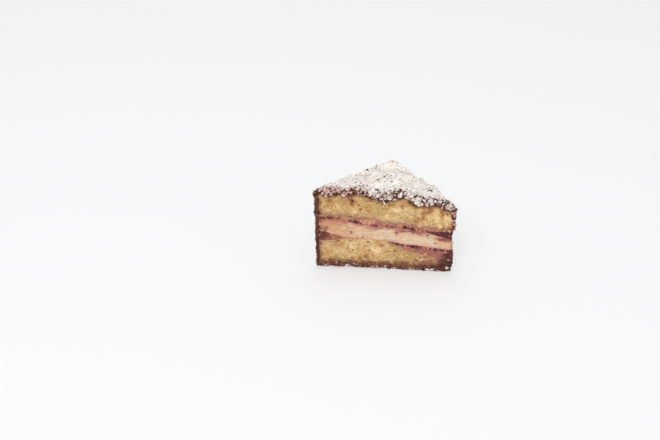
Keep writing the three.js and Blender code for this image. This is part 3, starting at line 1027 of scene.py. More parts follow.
def draw_on(grid, normals, weight, count):
    """Random points on a sleeve: a face by its area times its weight, then a blend of its four
    corners with random shares."""
    a, b = grid[:-1], grid[1:]
    c, d = np.roll(a, -1, 1), np.roll(b, -1, 1)
    one_half = np.linalg.norm(np.cross(b - a, c - a), axis=-1)
    other_half = np.linalg.norm(np.cross(b - d, c - d), axis=-1)
    area = (one_half + other_half) * weight[:-1]
    chance = area.reshape(-1) / area.sum()
    pick = rng.choice(len(chance), count, p=chance)
    i, j = np.unravel_index(pick, area.shape)
    u, v = rng.random((2, count, 1))
    place = (a[i, j] * (1 - u) + b[i, j] * u) * (1 - v) + (c[i, j] * (1 - u) + d[i, j] * u) * v
    return place, normals[:-1][i, j]


def browner(place):
    """Extra chocolate on the coconut near the rim's left part, on the walls beside the cut and
    at the front of the base."""
    x, y, z = place.T
    on_left_rim = 0.42 * smooth(-4, -24, x) * smooth(4, 0.5, y) * smooth(40, 50, z)
    beside_cut = 0.4 * smooth(6, 2, y) * smooth(42, 45, np.abs(x)) * smooth(56, 52, z)
    at_base = 0.5 * smooth(6, -4, x) * smooth(2, 0.5, y) * smooth(4, 3, z)
    return on_left_rim + beside_cut * smooth(4, 8, z) + at_base


def handful(part, count, low, high, lift, lean, bend=0.0, stain=(0, 0.5), spin=np.pi):
    """One lot of pieces that lie on a part of the coat, which is a sleeve, its normals and a
    weight. Each size is drawn between low and high, the lift says how far above the surface a
    piece lies, and random leans keep the pieces uneven."""
    place, n = draw_on(*part, count)
    size = np.array(low) + (np.array(high) - low) * rng.random((count, 1)) ** 1.4
    patches = 0.5 + 0.5 * layered_noise(place, 5.0, 580, 2)
    return {
        "place": place + n * rng.uniform(*lift, (count, 1)),
        "turn": turn_matrices(n, rng.normal(0, lean, (count, 3)), rng.uniform(-spin, spin, count)),
        "size": size * rng.uniform(0.8, 1.2, (count, 3)),
        "bend": rng.uniform(-bend, bend, count),
        "tone": np.clip(patches + rng.uniform(-0.3, 0.3, count), 0, 1),
        "stain": np.clip(rng.uniform(*stain, count) ** 1.5 + browner(place), 0, 1),
    }


trial = np.array([[-30.0, 0.0, 57.0], [0.0, 20.0, 61.0]])
print("extra chocolate at the left rim and on the top:", browner(trial).round(2))

# %% [markdown]
# Some pieces catch the eye one by one, such as a shred that hangs over the rim. Those are put
# down one by one on the cut face. Clumps get smaller pieces stuck all round them, which hides
# that each began as a ball.

# %% Pieces one by one and on clumps
FACING = np.array([0.0, -1.0, 0.0])  # the way that the cut face looks
PROUD = 0.55  # how far in front of the cut a piece put down one by one lies


def put_down(rows):
    """Pieces set one by one on the cut face, one row each: x, z, length, width, thickness, the
    length's angle to the horizontal, stain."""
    x, z, length, width, thickness, angle, stain = np.array(rows, float).T
    return {
        "place": np.stack([x, -PROUD + 0 * x, z], -1),
        "turn": turn_matrices(FACING, np.zeros((len(x), 3)), np.radians(angle)),
        "size": np.stack([length, width, thickness], -1),
        "bend": 0 * x - 0.2,
        "tone": 0 * x + 0.7,
        "stain": stain,
    }


def stuck_round(lot, count, low, high, lean=0.3):
    """Small pieces on the outer side of every clump of a lot. A random direction on a ball,
    stretched to the clump's size and turned with it, gives each place; the piece lies flat there."""
    total = len(lot["place"]) * count
    d = rng.normal(size=(len(lot["place"]), count, 3))
    d[..., 2] = np.abs(d[..., 2])
    d, half = unit(d), lot["size"][:, None] / 2
    offset = np.einsum("nij,nkj->nki", lot["turn"], d * half)
    away = unit(np.einsum("nij,nkj->nki", lot["turn"], d / half).reshape(-1, 3))
    size = np.array(low) + (np.array(high) - low) * rng.random((total, 1))
    leans, spins = rng.normal(0, lean, (total, 3)), rng.uniform(-np.pi, np.pi, total)
    return {
        "place": (lot["place"][:, None] + offset).reshape(-1, 3),
        "turn": turn_matrices(away, leans, spins),
        "size": size * rng.uniform(0.8, 1.2, (total, 3)),
        "bend": np.zeros(total),
        "tone": np.clip(np.repeat(lot["tone"], count) + rng.uniform(-0.3, 0.3, total), 0, 1),
        "stain": np.clip(np.repeat(lot["stain"], count) + rng.uniform(-0.2, 0.2, total), 0, 1),
    }


print("pieces by hand lie", PROUD, "mm in front of the cut")

# %% [markdown]
# The parts of the coat differ: the top is thickly covered, the walls in patches, the rim only
# with what stuck to the wet edge. The weights below say so, first for the outside, where they
# come from the way the surface looks and from the distance to the cut.

# %% Parts of the outside
outside = (outer, grid_normals(outer) * outward)
x, y, z = np.moveaxis(outer, -1, 0)
up = outside[1][..., 2]
is_top, is_wall = smooth(0.3, 0.7, up), smooth(0.6, 0.2, np.abs(up))
bare_patches = smooth(-0.25, 0.3, layered_noise(outer, 2.6, 560, 2))
cover_patches = 0.3 + 0.7 * smooth(-0.5, 0.2, layered_noise(outer, 5.0, 590, 3))
barer_ends = 1 - 0.6 * smooth(34, 42, x) * smooth(7, 2, y) - 0.3 * smooth(-8, -26, x) * smooth(4, 1, y)
barer_left = 1 - 0.6 * smooth(-24, -31, x) * smooth(1.5, 3.5, y)
right_stretch = smooth(5.0, 2.0, y) * smooth(2, 10, x) * smooth(43, 37, x)
top_part = (*outside, is_top * (smooth(1.5, 7.0, y) + 0.25 * smooth(7.0, 1.5, y) * bare_patches))
whole_top = (*outside, is_top)
front_band = (*outside, is_top * smooth(7.0, 3.0, y) * barer_ends * barer_left)
right_band = (*outside, is_top * right_stretch * (1 - 0.5 * smooth(5, 2, np.abs(x - 14))))
walls = (*outside, is_wall * (0.05 + 0.95 * smooth(0.5, 6.0, y)) * cover_patches)
far_corner = (*outside, is_wall * smooth(45.6, 47, y))
underside = (*outside, smooth(-0.5, -0.9, up))
print("top", is_top.mean().round(3), "and walls", is_wall.mean().round(3), "of the grid's points")

# %% [markdown]
# The rim has a sleeve of its own, the last rings outside and the rows of the cut. Its weight
# runs out towards the layers, and the stretches of a ring tell the top from sides and base. The
# right side stays bare where cream was drawn over it.

# %% Parts of the rim
rim_grid = np.concatenate([outer[-3:], rim[:-1]])
on_rim = (rim_grid, grid_normals(rim_grid) * outward)
x, z = rim_grid[..., 0], rim_grid[..., 2]
ring_at = np.arange(rim_grid.shape[1])
over_top = (ring_at >= RING["left"]) & (ring_at < RING["left"] + RING["top"])
along_base = ring_at >= RING["left"] + RING["top"] + RING["right"]
running_out = np.concatenate([np.ones(3), np.linspace(1, 0.0, RIM_ROWS - 1) ** 1.2])[:, None]
top_weight, base_weight = running_out * over_top, running_out * along_base
side_weight = running_out * ~(over_top | along_base)
side_weight = side_weight * (1 - smooth(42, 44, x) * smooth(15, 18, z) * smooth(33, 28, z))
fewer_at_ends = 1 - 0.45 * smooth(-8, -26, x) - 0.55 * smooth(23, 31, x)
every_row = np.ones((RIM_ROWS + 2, 1))
top_rim = (*on_rim, top_weight * fewer_at_ends)
left_rim = (*on_rim, top_weight * smooth(-6, -24, x))
side_rim = (*on_rim, side_weight)
right_rim = (*on_rim, side_weight * smooth(30, 40, x) * smooth(31, 34, z))
base_rim = (*on_rim, base_weight)
low_rim = (*on_rim, base_weight + 0.4 * side_weight)
all_top_rim = (*on_rim, over_top * every_row)
all_base_rim = (*on_rim, along_base * every_row)
print("rim:", over_top.sum(), "points over the top and", along_base.sum(), "along the base")

# %% [markdown]
# Four kinds are enough: shreds, chips, crumbs and rounded clumps. The clumps are drawn first,
# because other kinds also stick to them. They lie closest along the rim, where chocolate has
# balled the coconut up, and the dark coat shows between them.

# %% Lots of clumps
clump_lots = [
    handful(top_rim, 80, (1.5, 1.2, 0.9), (3.2, 2.4, 1.8), (0.0, 0.5), 0.6, 0.0, (0.1, 0.9)),
    handful(front_band, 150, (1.6, 1.3, 0.9), (3.8, 2.7, 1.8), (0.3, 1.0), 0.6, 0.0, (0.0, 0.6)),
    handful(whole_top, 160, (1.6, 1.3, 0.7), (3.8, 2.8, 1.3), (0.4, 0.9), 0.3, 0.0, (0, 0.3)),
    handful(walls, 200, (1.5, 1.2, 0.7), (3.2, 2.4, 1.2), (0.2, 0.6), 0.3, 0.0, (0.1, 0.7)),
    put_down([
        (-28, 56.6, 2.4, 2.2, 1.6, 0, 0.15), (-36.5, 56.8, 2.6, 2.0, 1.6, 30, 0.3),
        (-27.0, 53.6, 3.2, 2.4, 1.4, 30, 0.9), (-42, 57.4, 3.0, 2.0, 1.6, 60, 0.35),
        (-40, 56, 1.6, 2.6, 1.2, 0, 0.3), (44.1, 3.4, 1.5, 1.4, 1.0, 0, 0.1),
    ]),
]
print("clumps:", [len(lot["place"]) for lot in clump_lots])

# %% [markdown]
# Shreds are the long thin kind. On the top they lie flat and white, on the walls they lie in the
# chocolate, and a few hang over the rim.

# %% Shreds
shreds = scatter("coconut_shreds", SHRED, [
    handful(top_part, 1100, (2.4, 0.7, 0.25), (6.5, 1.4, 0.4), (0.7, 1.5), 0.14, 0.3, (0, 0.3)),
    handful(walls, 2900, (1.8, 0.5, 0.25), (4.2, 0.9, 0.4), (0.1, 0.9), 0.25, 0.25, (0.1, 0.7)),
    handful(far_corner, 90, (1.6, 0.5, 0.25), (3.4, 0.9, 0.4), (0.2, 0.7), 0.25, 0.25, (0.1, 0.6)),
    handful(top_rim, 60, (2.0, 0.5, 0.25), (3.8, 0.9, 0.4), (0.1, 0.5), 0.3, 0.2, (0.1, 0.7)),
    handful(base_rim, 26, (2.0, 0.5, 0.25), (5.4, 0.9, 0.4), (0.0, 0.3), 0.2, 0.1, (0.2, 0.9), 0.35),
    put_down([
        (-0.8, 51.8, 4.2, 1.0, 0.5, 112, 0.3), (32.4, 1.3, 6.2, 1.1, 0.5, 3, 0.1),
        (-26.7, 1.8, 5.0, 1.0, 0.5, 14, 0.1), (45.6, 46.4, 3.0, 0.9, 0.5, 10, 0.2),
        (45.2, 40.6, 2.4, 0.8, 0.5, -20, 0.3),
    ]),
    *[stuck_round(lot, 3, (1.2, 0.4, 0.25), (2.4, 0.7, 0.35)) for lot in clump_lots],
])

# %% [markdown]
# Chips are the broad flat kind and make most of the white cover. Along the front of the base a
# row of them sticks in the edge.

# %% Chips
chips = scatter("coconut_chips", CHIP, [
    handful(top_part, 3000, (1.8, 1.4, 0.3), (4.6, 3.4, 0.5), (0.2, 1.1), 0.1, 0.15, (0, 0.3)),
    handful(walls, 4300, (1.2, 0.9, 0.25), (2.8, 1.9, 0.45), (0.0, 0.7), 0.25, 0.1, (0.1, 0.8)),
    handful(far_corner, 200, (1.2, 0.9, 0.25), (2.6, 1.8, 0.45), (0.2, 0.6), 0.25, 0.0, (0.1, 0.6)),
    handful(top_rim, 110, (1.1, 0.9, 0.4), (2.4, 1.8, 0.8), (-0.1, 0.4), 0.5, 0.0, (0.2, 0.9)),
    handful(base_rim, 44, (1.0, 0.6, 0.3), (2.4, 1.0, 0.5), (-0.1, 0.3), 0.3, 0.0, (0.3, 1.0), 0.35),
    handful(side_rim, 26, (0.8, 0.7, 0.3), (1.8, 1.4, 0.5), (-0.1, 0.2), 0.4, 0.0, (0.4, 1.0)),
    handful(right_rim, 60, (0.8, 0.6, 0.3), (2.0, 1.3, 0.5), (-0.1, 0.3), 0.4, 0.0, (0.5, 1.0)),
    handful(underside, 420, (1.2, 0.9, 0.2), (2.8, 1.8, 0.3), (-0.05, 0.1), 0.03, 0.0, (0.3, 0.9)),
    put_down([
        (-33.2, 3.7, 1.4, 0.9, 0.5, 20, 0.5), (-30.0, 3.0, 1.8, 0.8, 0.5, -10, 0.35),
        (-26.0, 2.7, 2.0, 0.8, 0.5, 5, 0.45), (-21.2, 3.2, 1.4, 0.9, 0.5, 30, 0.4),
        (-19.4, 2.0, 2.6, 1.0, 0.5, 75, 0.45), (-12.8, 1.6, 1.6, 0.8, 0.5, -10, 0.3),
        (-8.6, 1.4, 1.5, 0.8, 0.5, 15, 0.4), (-4.6, 2.4, 1.3, 0.8, 0.5, 0, 0.4),
        (1.0, 2.4, 1.4, 0.9, 0.5, 10, 0.1), (7.4, 1.6, 1.5, 0.8, 0.5, -15, 0.35),
    ]),
])

# %% [markdown]
# Crumbs fill what is left between the larger kinds, and each clump carries eleven of them.

# %% Crumbs and clumps
crumbs = scatter("coconut_crumbs", CRUMB, [
    handful(top_part, 1100, (0.6, 0.6, 0.5), (1.4, 1.2, 1.0), (0.4, 1.4), 0.5, 0.0, (0, 0.5)),
    handful(walls, 6500, (0.6, 0.6, 0.5), (1.3, 1.1, 0.9), (0.0, 0.9), 0.5, 0.0, (0.1, 0.8)),
    handful(top_rim, 160, (0.6, 0.5, 0.5), (1.3, 1.1, 1.0), (-0.1, 0.4), 0.5, 0.0, (0.2, 1.0)),
    handful(low_rim, 130, (0.5, 0.5, 0.4), (1.1, 0.9, 0.8), (-0.1, 0.2), 0.5, 0.0, (0.3, 1.0)),
    *[stuck_round(lot, 11, (0.5, 0.45, 0.4), (1.1, 0.9, 0.7)) for lot in clump_lots],
], 0.12)
clumps = scatter("coconut_clumps", CLUMP, clump_lots, 0.14)

# %% [markdown]
# ## Chocolate nibs
# Bits of the coat are torn off as the cake is rolled and cut. They stick to the rim, where they
# make its edge ragged, and lie as dark specks on the white top, thickest along its far edges and
# in a few patches.

# %% Where the nibs lie
DARK_PATCHES = [  # place along the cut, depth and radius
    (-17.5, 3.5, 2.8), (-19, 7.5, 2.0), (-5.5, 4.0, 1.6), (-7, 14.5, 1.4), (29, 10.5, 1.7),
    (27, 14, 1.3), (-15.5, 31, 1.8), (-11, 35, 1.8), (-5.5, 29, 1.5),
]
x, y, z = np.moveaxis(outer, -1, 0)
from_edge = (SIDE / np.sqrt(2) - np.abs(x) - y) / np.sqrt(2)
beside_edge = (is_top + 0.4 * is_wall * smooth(52, 56, z)) * smooth(5.5, 1.5, from_edge)
patchy = smooth(0.0, 0.6, layered_noise(outer, 9.0, 572, 2)) + 0.6 * smooth(9, 3, y)
far_edges = (*outside, beside_edge * (0.6 + 1.4 * smooth(-5, 12, x)))
patchy_top = (*outside, is_top * (0.3 + patchy))
dark_patches = (*outside, is_top * near_points(x, y, DARK_PATCHES))
print(len(DARK_PATCHES), "dark patches on the top")

# %% [markdown]
# A nib has a clump's shape, only smaller and of the coat's chocolate.

# %% Chocolate nibs
chocolate_nibs = scatter("chocolate_nibs", CLUMP, [
    handful(all_top_rim, 150, (0.8, 0.7, 0.6), (2.2, 1.6, 1.2), (-0.2, 0.3), 0.5),
    handful(all_base_rim, 150, (0.8, 0.6, 0.6), (2.0, 1.2, 1.0), (-0.2, 0.3), 0.5),
    handful(side_rim, 90, (0.8, 0.8, 0.6), (2.2, 1.8, 1.2), (-0.3, 0.3), 0.5),
    handful(front_band, 130, (0.9, 0.8, 0.6), (2.8, 2.0, 1.5), (0.5, 1.2), 0.5),
    handful(patchy_top, 260, (0.6, 0.5, 0.4), (2.0, 1.1, 0.8), (0.8, 1.4), 0.4),
    handful(far_edges, 170, (0.6, 0.5, 0.4), (1.7, 1.1, 0.8), (0.6, 1.3), 0.4),
    handful(left_rim, 75, (1.0, 0.9, 0.8), (2.6, 2.0, 1.4), (0.0, 0.5), 0.5),
    handful(right_band, 105, (1.0, 0.9, 0.7), (2.8, 2.0, 1.5), (0.7, 1.4), 0.5),
    handful(top_rim, 130, (0.9, 0.8, 0.7), (2.2, 1.8, 1.3), (0.1, 0.6), 0.5),
    handful(walls, 260, (0.8, 0.7, 0.5), (2.0, 1.4, 0.9), (0.2, 0.8), 0.4),
    put_down([(-22.2, 52.6, 1.8, 1.4, 0.8, 70, 0), (-33, 56.6, 2.6, 1.8, 1.4, 0, 0)]),
    handful(dark_patches, 60, (0.9, 0.8, 0.6), (2.3, 1.6, 1.1), (0.9, 1.4), 0.5),
], 0.1)

# %% [markdown]
# ## Loose crumbs
# The knife leaves small sponge crumbs standing on the cut face and drags some of them over the
# lines between the layers. They break up the flat look of the face, also from the side.

# %% Lots of sponge crumbs
FREE_ENDS = 2.5  # no crumbs stand nearer than this to the ends of the layers


def on_face(count, low, high, margin, seed):
    """Places spread over the cut face between two lines, a margin away from both. Sizes run from
    0.3 to 1 mm, and most are small."""
    own = np.random.default_rng(seed)
    end = plan_end(LAYER_INSET) - FREE_ENDS
    x = own.uniform(-end, end, count)
    z0, z1 = low(x, 0 * x) + margin, high(x, 0 * x) - margin
    size = 0.3 + 0.7 * own.random((count, 1)) ** 3
    in_front = own.uniform(-0.4, 0.2, count)
    place = np.stack([x, in_front, z0 + (z1 - z0) * own.random(count)], -1)
    return {
        "place": place,
        "turn": turn_matrices(FACING, own.normal(0, 0.6, (count, 3)), own.uniform(0, 6.3, count)),
        "size": size * own.uniform(0.6, 1.3, (count, 3)),
        "bend": np.zeros(count),
        "tone": own.random(count),
        "stain": np.zeros(count),
    }


def soaked(lot):
    """The same crumbs, with jam in those that lie on the soaked right part of the lower layer."""
    x, z = lot["place"][:, 0], lot["place"][:, 2]
    lot["stain"] = np.maximum(lot["stain"], smooth(10, 24, x) * smooth(21, 19, z))
    return lot


def along_line(count, line, spread, ends, seed):
    """Crumbs dragged over a line between two places, with normal scatter about it."""
    own = np.random.default_rng(seed)
    lot = on_face(count, line, line, 0.0, seed)
    x = own.uniform(*ends, count)
    z = line(x, 0 * x) + own.normal(0, spread, count)
    lot["place"] = np.stack([x, own.uniform(-0.5, 0.1, count), z], -1)
    lot["size"] = lot["size"] * own.uniform(0.9, 1.6, (count, 1))
    lot["stain"] = own.random(count) ** 0.8
    return lot


print("sponge crumbs stop", FREE_ENDS, "mm before the coat")

# %% [markdown]
# The largest lot lies along the torn lower edge of the upper sponge. Each lot has its own seed,
# so that the number of one can change without moving the others.

# %% Crumbs on the cut
sponge_crumbs = scatter("sponge_crumbs", CLUMP, [
    along_line(800, torn_upper_base, 0.6, (-45, 44), 64),
    soaked(along_line(160, torn_lower_top, 0.5, (2, 42), 65)),
    soaked(on_face(360, coat_floor, torn_lower_top, 3.0, 61)),
    on_face(500, torn_upper_base, torn_upper_top, 1.5, 62),
    on_face(40, torn_cream_base, torn_cream_top, 0.5, 63),
], 0.22)

# %% [markdown]
# ## Materials
# Colours could be painted on unwrapped surfaces. Here they come from the numbers made with the
# shapes and from noise on Object coordinates, which needs no unwrapping and stays on the cake in
# every view. A few helpers keep the node trees short.

# %% Material helpers
def linear(rgb):
    """From screen colour 0-255 to the renderer's linear values: the sRGB curve."""
    c = np.array(rgb, float) / 255
    return (*np.where(c <= 0.04045, c / 12.92, ((c + 0.055) / 1.055) ** 2.4), 1.0)


class Finish:
    """A material with a Principled shader and short ways to add nodes to it."""

    def __init__(self, name, **settings):
        self.material = bpy.data.materials.new(name)
        self.material.use_nodes = True
        self.tree = self.material.node_tree
        self.shader = self.tree.nodes["Principled BSDF"]
        for key, value in settings.items():
            self.shader.inputs[key.replace("_", " ")].default_value = value
        self.place = self.tree.nodes.new("ShaderNodeTexCoord").outputs["Object"]

    def plug(self, value, socket):
        """Another node's output is linked to the socket. A number is written into it, and so is
        a screen colour, made linear."""
        if isinstance(value, bpy.types.NodeSocket):
            self.tree.links.new(value, socket)
        else:
            socket.default_value = linear(value) if socket.type == "RGBA" else value

    def node(self, kind, inputs=(), **settings):
        """A new node with its settings and inputs."""
        node = self.tree.nodes.new(kind)
        for key, value in settings.items():
            setattr(node, key, value)
        for key, value in dict(inputs).items():
            self.plug(value, node.inputs[key])
        return node

    def number(self, name):
        """A number that the mesh carries at each point."""
        return self.node("ShaderNodeAttribute", attribute_name=name).outputs["Fac"]

    def noise(self, scale, detail=4.0):
        """Soft noise from 0 to 1 on Object coordinates; the scale counts cells in a metre."""
        inputs = {"Vector": self.place, "Scale": scale, "Detail": detail, "Roughness": 0.6}
        return self.node("ShaderNodeTexNoise", inputs).outputs["Fac"]

    def ramp(self, value, stops):
        """Colours along a value: stops are (place, screen colour)."""
        node = self.node("ShaderNodeValToRGB", {"Fac": value})
        while len(node.color_ramp.elements) < len(stops):
            node.color_ramp.elements.new(0.5)
        for element, (place, colour) in zip(node.color_ramp.elements, stops):
            element.position, element.color = place, linear(colour)
        return node.outputs["Color"]

    def map(self, value, low, high, to_low=0.0, to_high=1.0):
        """A value from low to high becomes one from to_low to to_high, and stays between them."""
        inputs = {"Value": value, "From Min": low, "From Max": high}
        inputs.update({"To Min": to_low, "To Max": to_high})
        return self.node("ShaderNodeMapRange", inputs).outputs["Result"]

    def mix(self, share, a, b):
        """Colour a where the share is 0 and colour b where it is 1."""
        node = self.node("ShaderNodeMix", {"Factor": share}, data_type="RGBA")
        for socket, colour in zip([s for s in node.inputs if s.type == "RGBA"], (a, b)):
            self.plug(colour, socket)
        return [s for s in node.outputs if s.type == "RGBA"][0]

    def sum(self, a, b):
        """Two values added."""
        return self.node("ShaderNodeMath", {0: a, 1: b}, operation="ADD").outputs[0]

    def times(self, a, b):
        """Two values multiplied."""
        return self.node("ShaderNodeMath", {0: a, 1: b}, operation="MULTIPLY").outputs[0]

    def tint(self, base, **layers):
        """Screen colours laid over the base one by one: the mesh's number of a layer's name,
        times the share, says how much."""
        for name, (share, rgb) in layers.items():
            base = self.mix(self.times(self.number(name), share), base, rgb)
        return base

    def colour(self, socket):
        """The shader takes its colour from the socket."""
        self.tree.links.new(socket, self.shader.inputs["Base Color"])

    def bump(self, height, distance, strength):
        """Relief too fine for the mesh."""
        inputs = {"Height": height, "Distance": distance, "Strength": strength}
        node = self.node("ShaderNodeBump", inputs)
        self.tree.links.new(node.outputs["Normal"], self.shader.inputs["Normal"])

    def put_on(self, *pieces):
        """The pieces get this material alone."""
        for piece in pieces:
            piece.data.materials.clear()
            piece.data.materials.append(self.material)
        print(self.material.name, "on", [p.name for p in pieces])


print("middle grey in linear values:", np.round(linear((128, 128, 128)), 3))

# %% [markdown]
# ### Sponge
# Golden crumb varies from pale yellow to light brown over a few millimetres, and the pores are
# painted darker as shade, on top of their real depth. The coat's chocolate soaks in as brown and
# the jam as dull purple. Each of these is one layer of colour over the last, so the order is that
# of baking, filling and coating.

# %% Sponge finish
crumb = Finish(
    "golden_sponge", Roughness=0.9,
    Subsurface_Weight=0.3, Subsurface_Scale=0.001, Subsurface_Radius=(1.0, 0.6, 0.35),
)
baked = [
    (0.1, (184, 142, 86)), (0.42, (210, 173, 117)), (0.62, (224, 190, 137)), (0.95, (246, 218, 170)),
]
look = crumb.ramp(crumb.number("tone"), baked)
look = crumb.mix(crumb.map(crumb.number("hue"), 0.55, 1.0, 0.0, 0.5), look, (222, 166, 118))
look = crumb.mix(crumb.map(crumb.number("hue"), 0.45, 0.0, 0.0, 0.5), look, (206, 182, 124))
look = crumb.mix(crumb.times(crumb.map(crumb.noise(1300.0), 0.35, 0.65), 0.8), look, (214, 178, 122))
cells = {"Vector": crumb.place, "Scale": 1050.0, "Randomness": 1.0}
bubbles = crumb.node("ShaderNodeTexVoronoi", cells).outputs["Distance"]
# Painted shade: the crumb is darker near the cells' points, as inside small pores.
look = crumb.mix(crumb.map(bubbles, 0.45, 0.05, 0.0, 0.35), look, (178, 132, 78))
# pale lays painted highlights on the crumb; toasted is the crumb's own browner colour.
look = crumb.tint(look, pale=(0.85, (251, 221, 172)), toasted=(0.85, (164, 100, 50)))
# Painted shade: the deeper a pit, the darker its crumb.
look = crumb.mix(crumb.map(crumb.number("pit"), 0.15, 1.3), look, (172, 124, 72))
look = crumb.tint(
    look, torn=(0.6, (206, 170, 138)), jam_soak=(0.8, (166, 94, 94)), bleed=(0.5, (172, 90, 110)),
    coat_soak=(0.95, (126, 74, 53)), smudge=(0.85, (150, 80, 60)), sunk=(0.9, (90, 50, 43)),
)
crumb.colour(look)
crumb.bump(crumb.sum(bubbles, crumb.noise(1800.0, 5.0)), 0.0004, 0.8)
crumb.put_on(lower_crumb, upper_crumb)

# %% [markdown]
# The loose crumbs are too small for pores. Each has one tone, and jam in those that are soaked.

# %% Loose crumb finish
loose = Finish("loose_crumb", Roughness=0.9)
look = loose.mix(loose.number("tone"), (230, 194, 142), (196, 154, 100))
loose.colour(loose.tint(look, stain=(0.9, (178, 122, 112))))
loose.put_on(sponge_crumbs)

# %% [markdown]
# ### Cream
# The cream is dull and a little yellow, because the knife has rubbed crumb and jam into it. Light
# enters it a little way.

# %% Cream finish
whipped = Finish("smeared_cream", Roughness=0.55, Subsurface_Weight=0.3, Subsurface_Scale=0.0015)
look = whipped.mix(whipped.map(whipped.noise(180.0), 0.35, 0.65), (222, 190, 156), (206, 168, 136))
look = whipped.mix(whipped.number("pale"), look, (223, 198, 169))
look = whipped.tint(
    look, left=(0.85, (202, 148, 106)), lip=(0.8, (232, 192, 150)), right=(0.6, (222, 178, 138)),
    smear=(0.85, (204, 138, 114)), deep=(0.9, (134, 66, 58)), stain=(0.6, (186, 128, 124)),
)
whipped.colour(look)
whipped.bump(whipped.noise(900.0), 0.0002, 0.5)
whipped.put_on(cream_filling)

# %% [markdown]
# ### Jam
# Where the jam is thick it is dark red, where it is rubbed thin the crumb shines through, and
# where chocolate has got into it, it is brown. One number runs through both scales of colour.

# %% Jam finish
berry = Finish("berry_jam", Roughness=0.38, Coat_Weight=0.15, Specular_IOR_Level=0.3)
seeds = berry.map(berry.noise(1300.0), 0.3, 0.7, -0.16, 0.16)
level = berry.sum(berry.number("dark"), seeds)
red = [(0.0, (210, 158, 124)), (0.3, (176, 102, 92)), (0.6, (128, 53, 57)), (1.0, (72, 20, 28))]
brown = [(0.0, (206, 150, 104)), (0.5, (146, 84, 62)), (1.0, (92, 44, 34))]
share = berry.times(berry.number("brown"), 0.85)
berry.colour(berry.mix(share, berry.ramp(level, red), berry.ramp(level, brown)))
berry.bump(berry.noise(700.0), 0.0004, 0.6)
berry.put_on(jam_above_cream, jam_below_cream)

# %% [markdown]
# ### Chocolate
# The dip is thin and matt, dark brown with lighter blooms.

# %% Chocolate finish
dipped = Finish("dipped_chocolate", Roughness=0.55, Specular_IOR_Level=0.3)
look = dipped.mix(dipped.map(dipped.noise(420.0), 0.4, 0.75), (68, 30, 22), (122, 70, 52))
look = dipped.tint(
    look, milky=(0.55, (160, 112, 88)), thin=(0.8, (172, 102, 72)),
    dusted=(0.85, (246, 238, 230)), creamed=(0.9, (214, 176, 148)),
)
dipped.colour(look)
dipped.bump(dipped.noise(1400.0, 5.0), 0.0004, 0.8)
dipped.put_on(chocolate_coat, chocolate_nibs)

# %% [markdown]
# ### Coconut
# Dry coconut is white, in places a little yellow with its oil, and brown where chocolate has
# stained it.

# %% Coconut finish
white = Finish("desiccated_coconut", Roughness=0.6, Specular_IOR_Level=0.35)
look = white.mix(white.number("tone"), (250, 248, 242), (223, 216, 213))
look = white.mix(white.map(white.noise(150.0, 3.0), 0.5, 0.7, 0.0, 0.6), look, (240, 237, 216))
white.colour(white.tint(look, stain=(0.85, (182, 122, 104))))
white.put_on(shreds, chips, crumbs, clumps)

# %% [markdown]
# ## Floor, light and camera
# The cake stands on a plain pale sweep: a floor that turns up behind without an edge, so that no
# line shows. It glows a little, which keeps it white under soft light.

# %% Floor
def sweep_points(width, depth, radius, height):
    """Floor that turns up behind: flat to the bend, a quarter circle, then a wall."""
    turn = np.linspace(0, np.pi / 2, 24)
    y = np.concatenate([[-depth, 0.0], radius * np.sin(turn)[1:], [radius]])
    z = np.concatenate([[0.0, 0.0], radius - radius * np.cos(turn)[1:], [height]])
    x = np.array([[-width], [width]]) + 0 * y
    return np.stack([x, y + 0 * x, z + 0 * x], -1)


BEND_STARTS = 1.4  # metres behind the cake
sweep = sweep_points(4.0, 3.0, 1.2, 3.0) + (0, BEND_STARTS, 0)
n = sweep.shape[1]
floor_mesh = bpy.data.meshes.new("floor")
strips = [(k, n + k, n + k + 1, k + 1) for k in range(n - 1)]
floor_mesh.from_pydata(sweep.reshape(-1, 3).tolist(), [], strips)
floor_mesh.shade_smooth()
floor = into_scene("floor", floor_mesh)
paper = Finish(
    "white_paper", Roughness=0.8, Specular_IOR_Level=0.2, Base_Color=(0.5, 0.5, 0.5, 1),
    Emission_Color=(0.985, 0.99, 1.0, 1), Emission_Strength=0.385,
)
paper.put_on(floor)

# %% [markdown]
# Daylight from a window is soft. A large light in front, above and to the left, gives the face
# its shading, a second one brightens the top, and the bright surroundings fill the shadows.

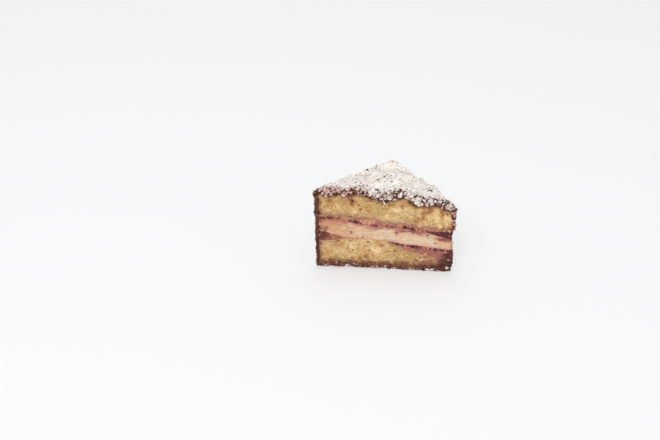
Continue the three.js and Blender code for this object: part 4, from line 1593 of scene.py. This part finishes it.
# %% Light
def soft_light(name, place, target, size, power, colour=(1, 1, 1)):
    """A round light that looks at the target: its z axis points away from it, and its x axis is
    level."""
    data = bpy.data.lights.new(name, "AREA")
    data.shape, data.size, data.energy, data.color = "DISK", size, power, colour
    z = unit(np.subtract(place, target))
    x = unit(np.cross((0.0, 0.0, 1.0), z))
    lamp = into_scene(name, data)
    lamp.location = place
    lamp.rotation_euler = Matrix(np.stack([x, np.cross(z, x), z], -1).tolist()).to_euler()


soft_light("key", (-0.2, -1.32, 1.26), (0, 0, 0.03), 1.0, 12.6, (1.0, 0.985, 0.96))
soft_light("top", (-0.2, 0.4, 1.6), (0, 0, 0), 1.2, 4.0)
world = bpy.data.worlds.new("surroundings")
bpy.context.scene.world = world
world.use_nodes = True
background = world.node_tree.nodes["Background"]
background.inputs["Color"].default_value = (0.97, 0.985, 1.0, 1)
background.inputs["Strength"].default_value = 0.75
bpy.context.scene.view_settings.view_transform = "Standard"
print("lights:", [lamp.name for lamp in bpy.data.lights])

# %% [markdown]
# The camera stands 0.8 m away and looks down onto the cake, which lies to the right of the
# middle of the view and below it.

# %% Camera
DROP = np.radians(27.3)  # how far the camera looks down
TURN = np.radians(-5.2)  # how far the cake is turned against the camera
DISTANCE = 816.0  # from the camera to the point it looks at
CAKE_AT = np.array([37.9, -74.7, 0.0])  # the cut's middle, seen from that point
SENSOR = 36.0  # width of the sensor in mm
FOCAL_SHARE = 1064 / 660  # focal length as a share of that width


def turned(v):
    """A direction of the camera's level frame as the cake sees it: turned back about z."""
    c, s = np.cos(-TURN), np.sin(-TURN)
    return np.array([c * v[0] - s * v[1], s * v[0] + c * v[1], v[2]])


behind = np.array([0, -np.cos(DROP), np.sin(DROP)])
to_right = np.array([1.0, 0.0, 0.0])
place = turned(behind * DISTANCE - CAKE_AT) + (0, cut_y, 0)
axes = [turned(to_right), turned(np.cross(to_right, -behind)), turned(behind)]
camera_data = bpy.data.cameras.new("camera")
camera_data.sensor_width, camera_data.lens = SENSOR, FOCAL_SHARE * SENSOR
camera_data.clip_start, camera_data.clip_end = 0.05, 20.0
camera = into_scene("camera", camera_data)
turn = Matrix(np.stack(axes, -1).tolist()).to_4x4()
camera.matrix_world = Matrix.Translation(place * MM) @ turn
bpy.context.scene.camera = camera
print("camera at", np.round(place * MM, 3), "m")
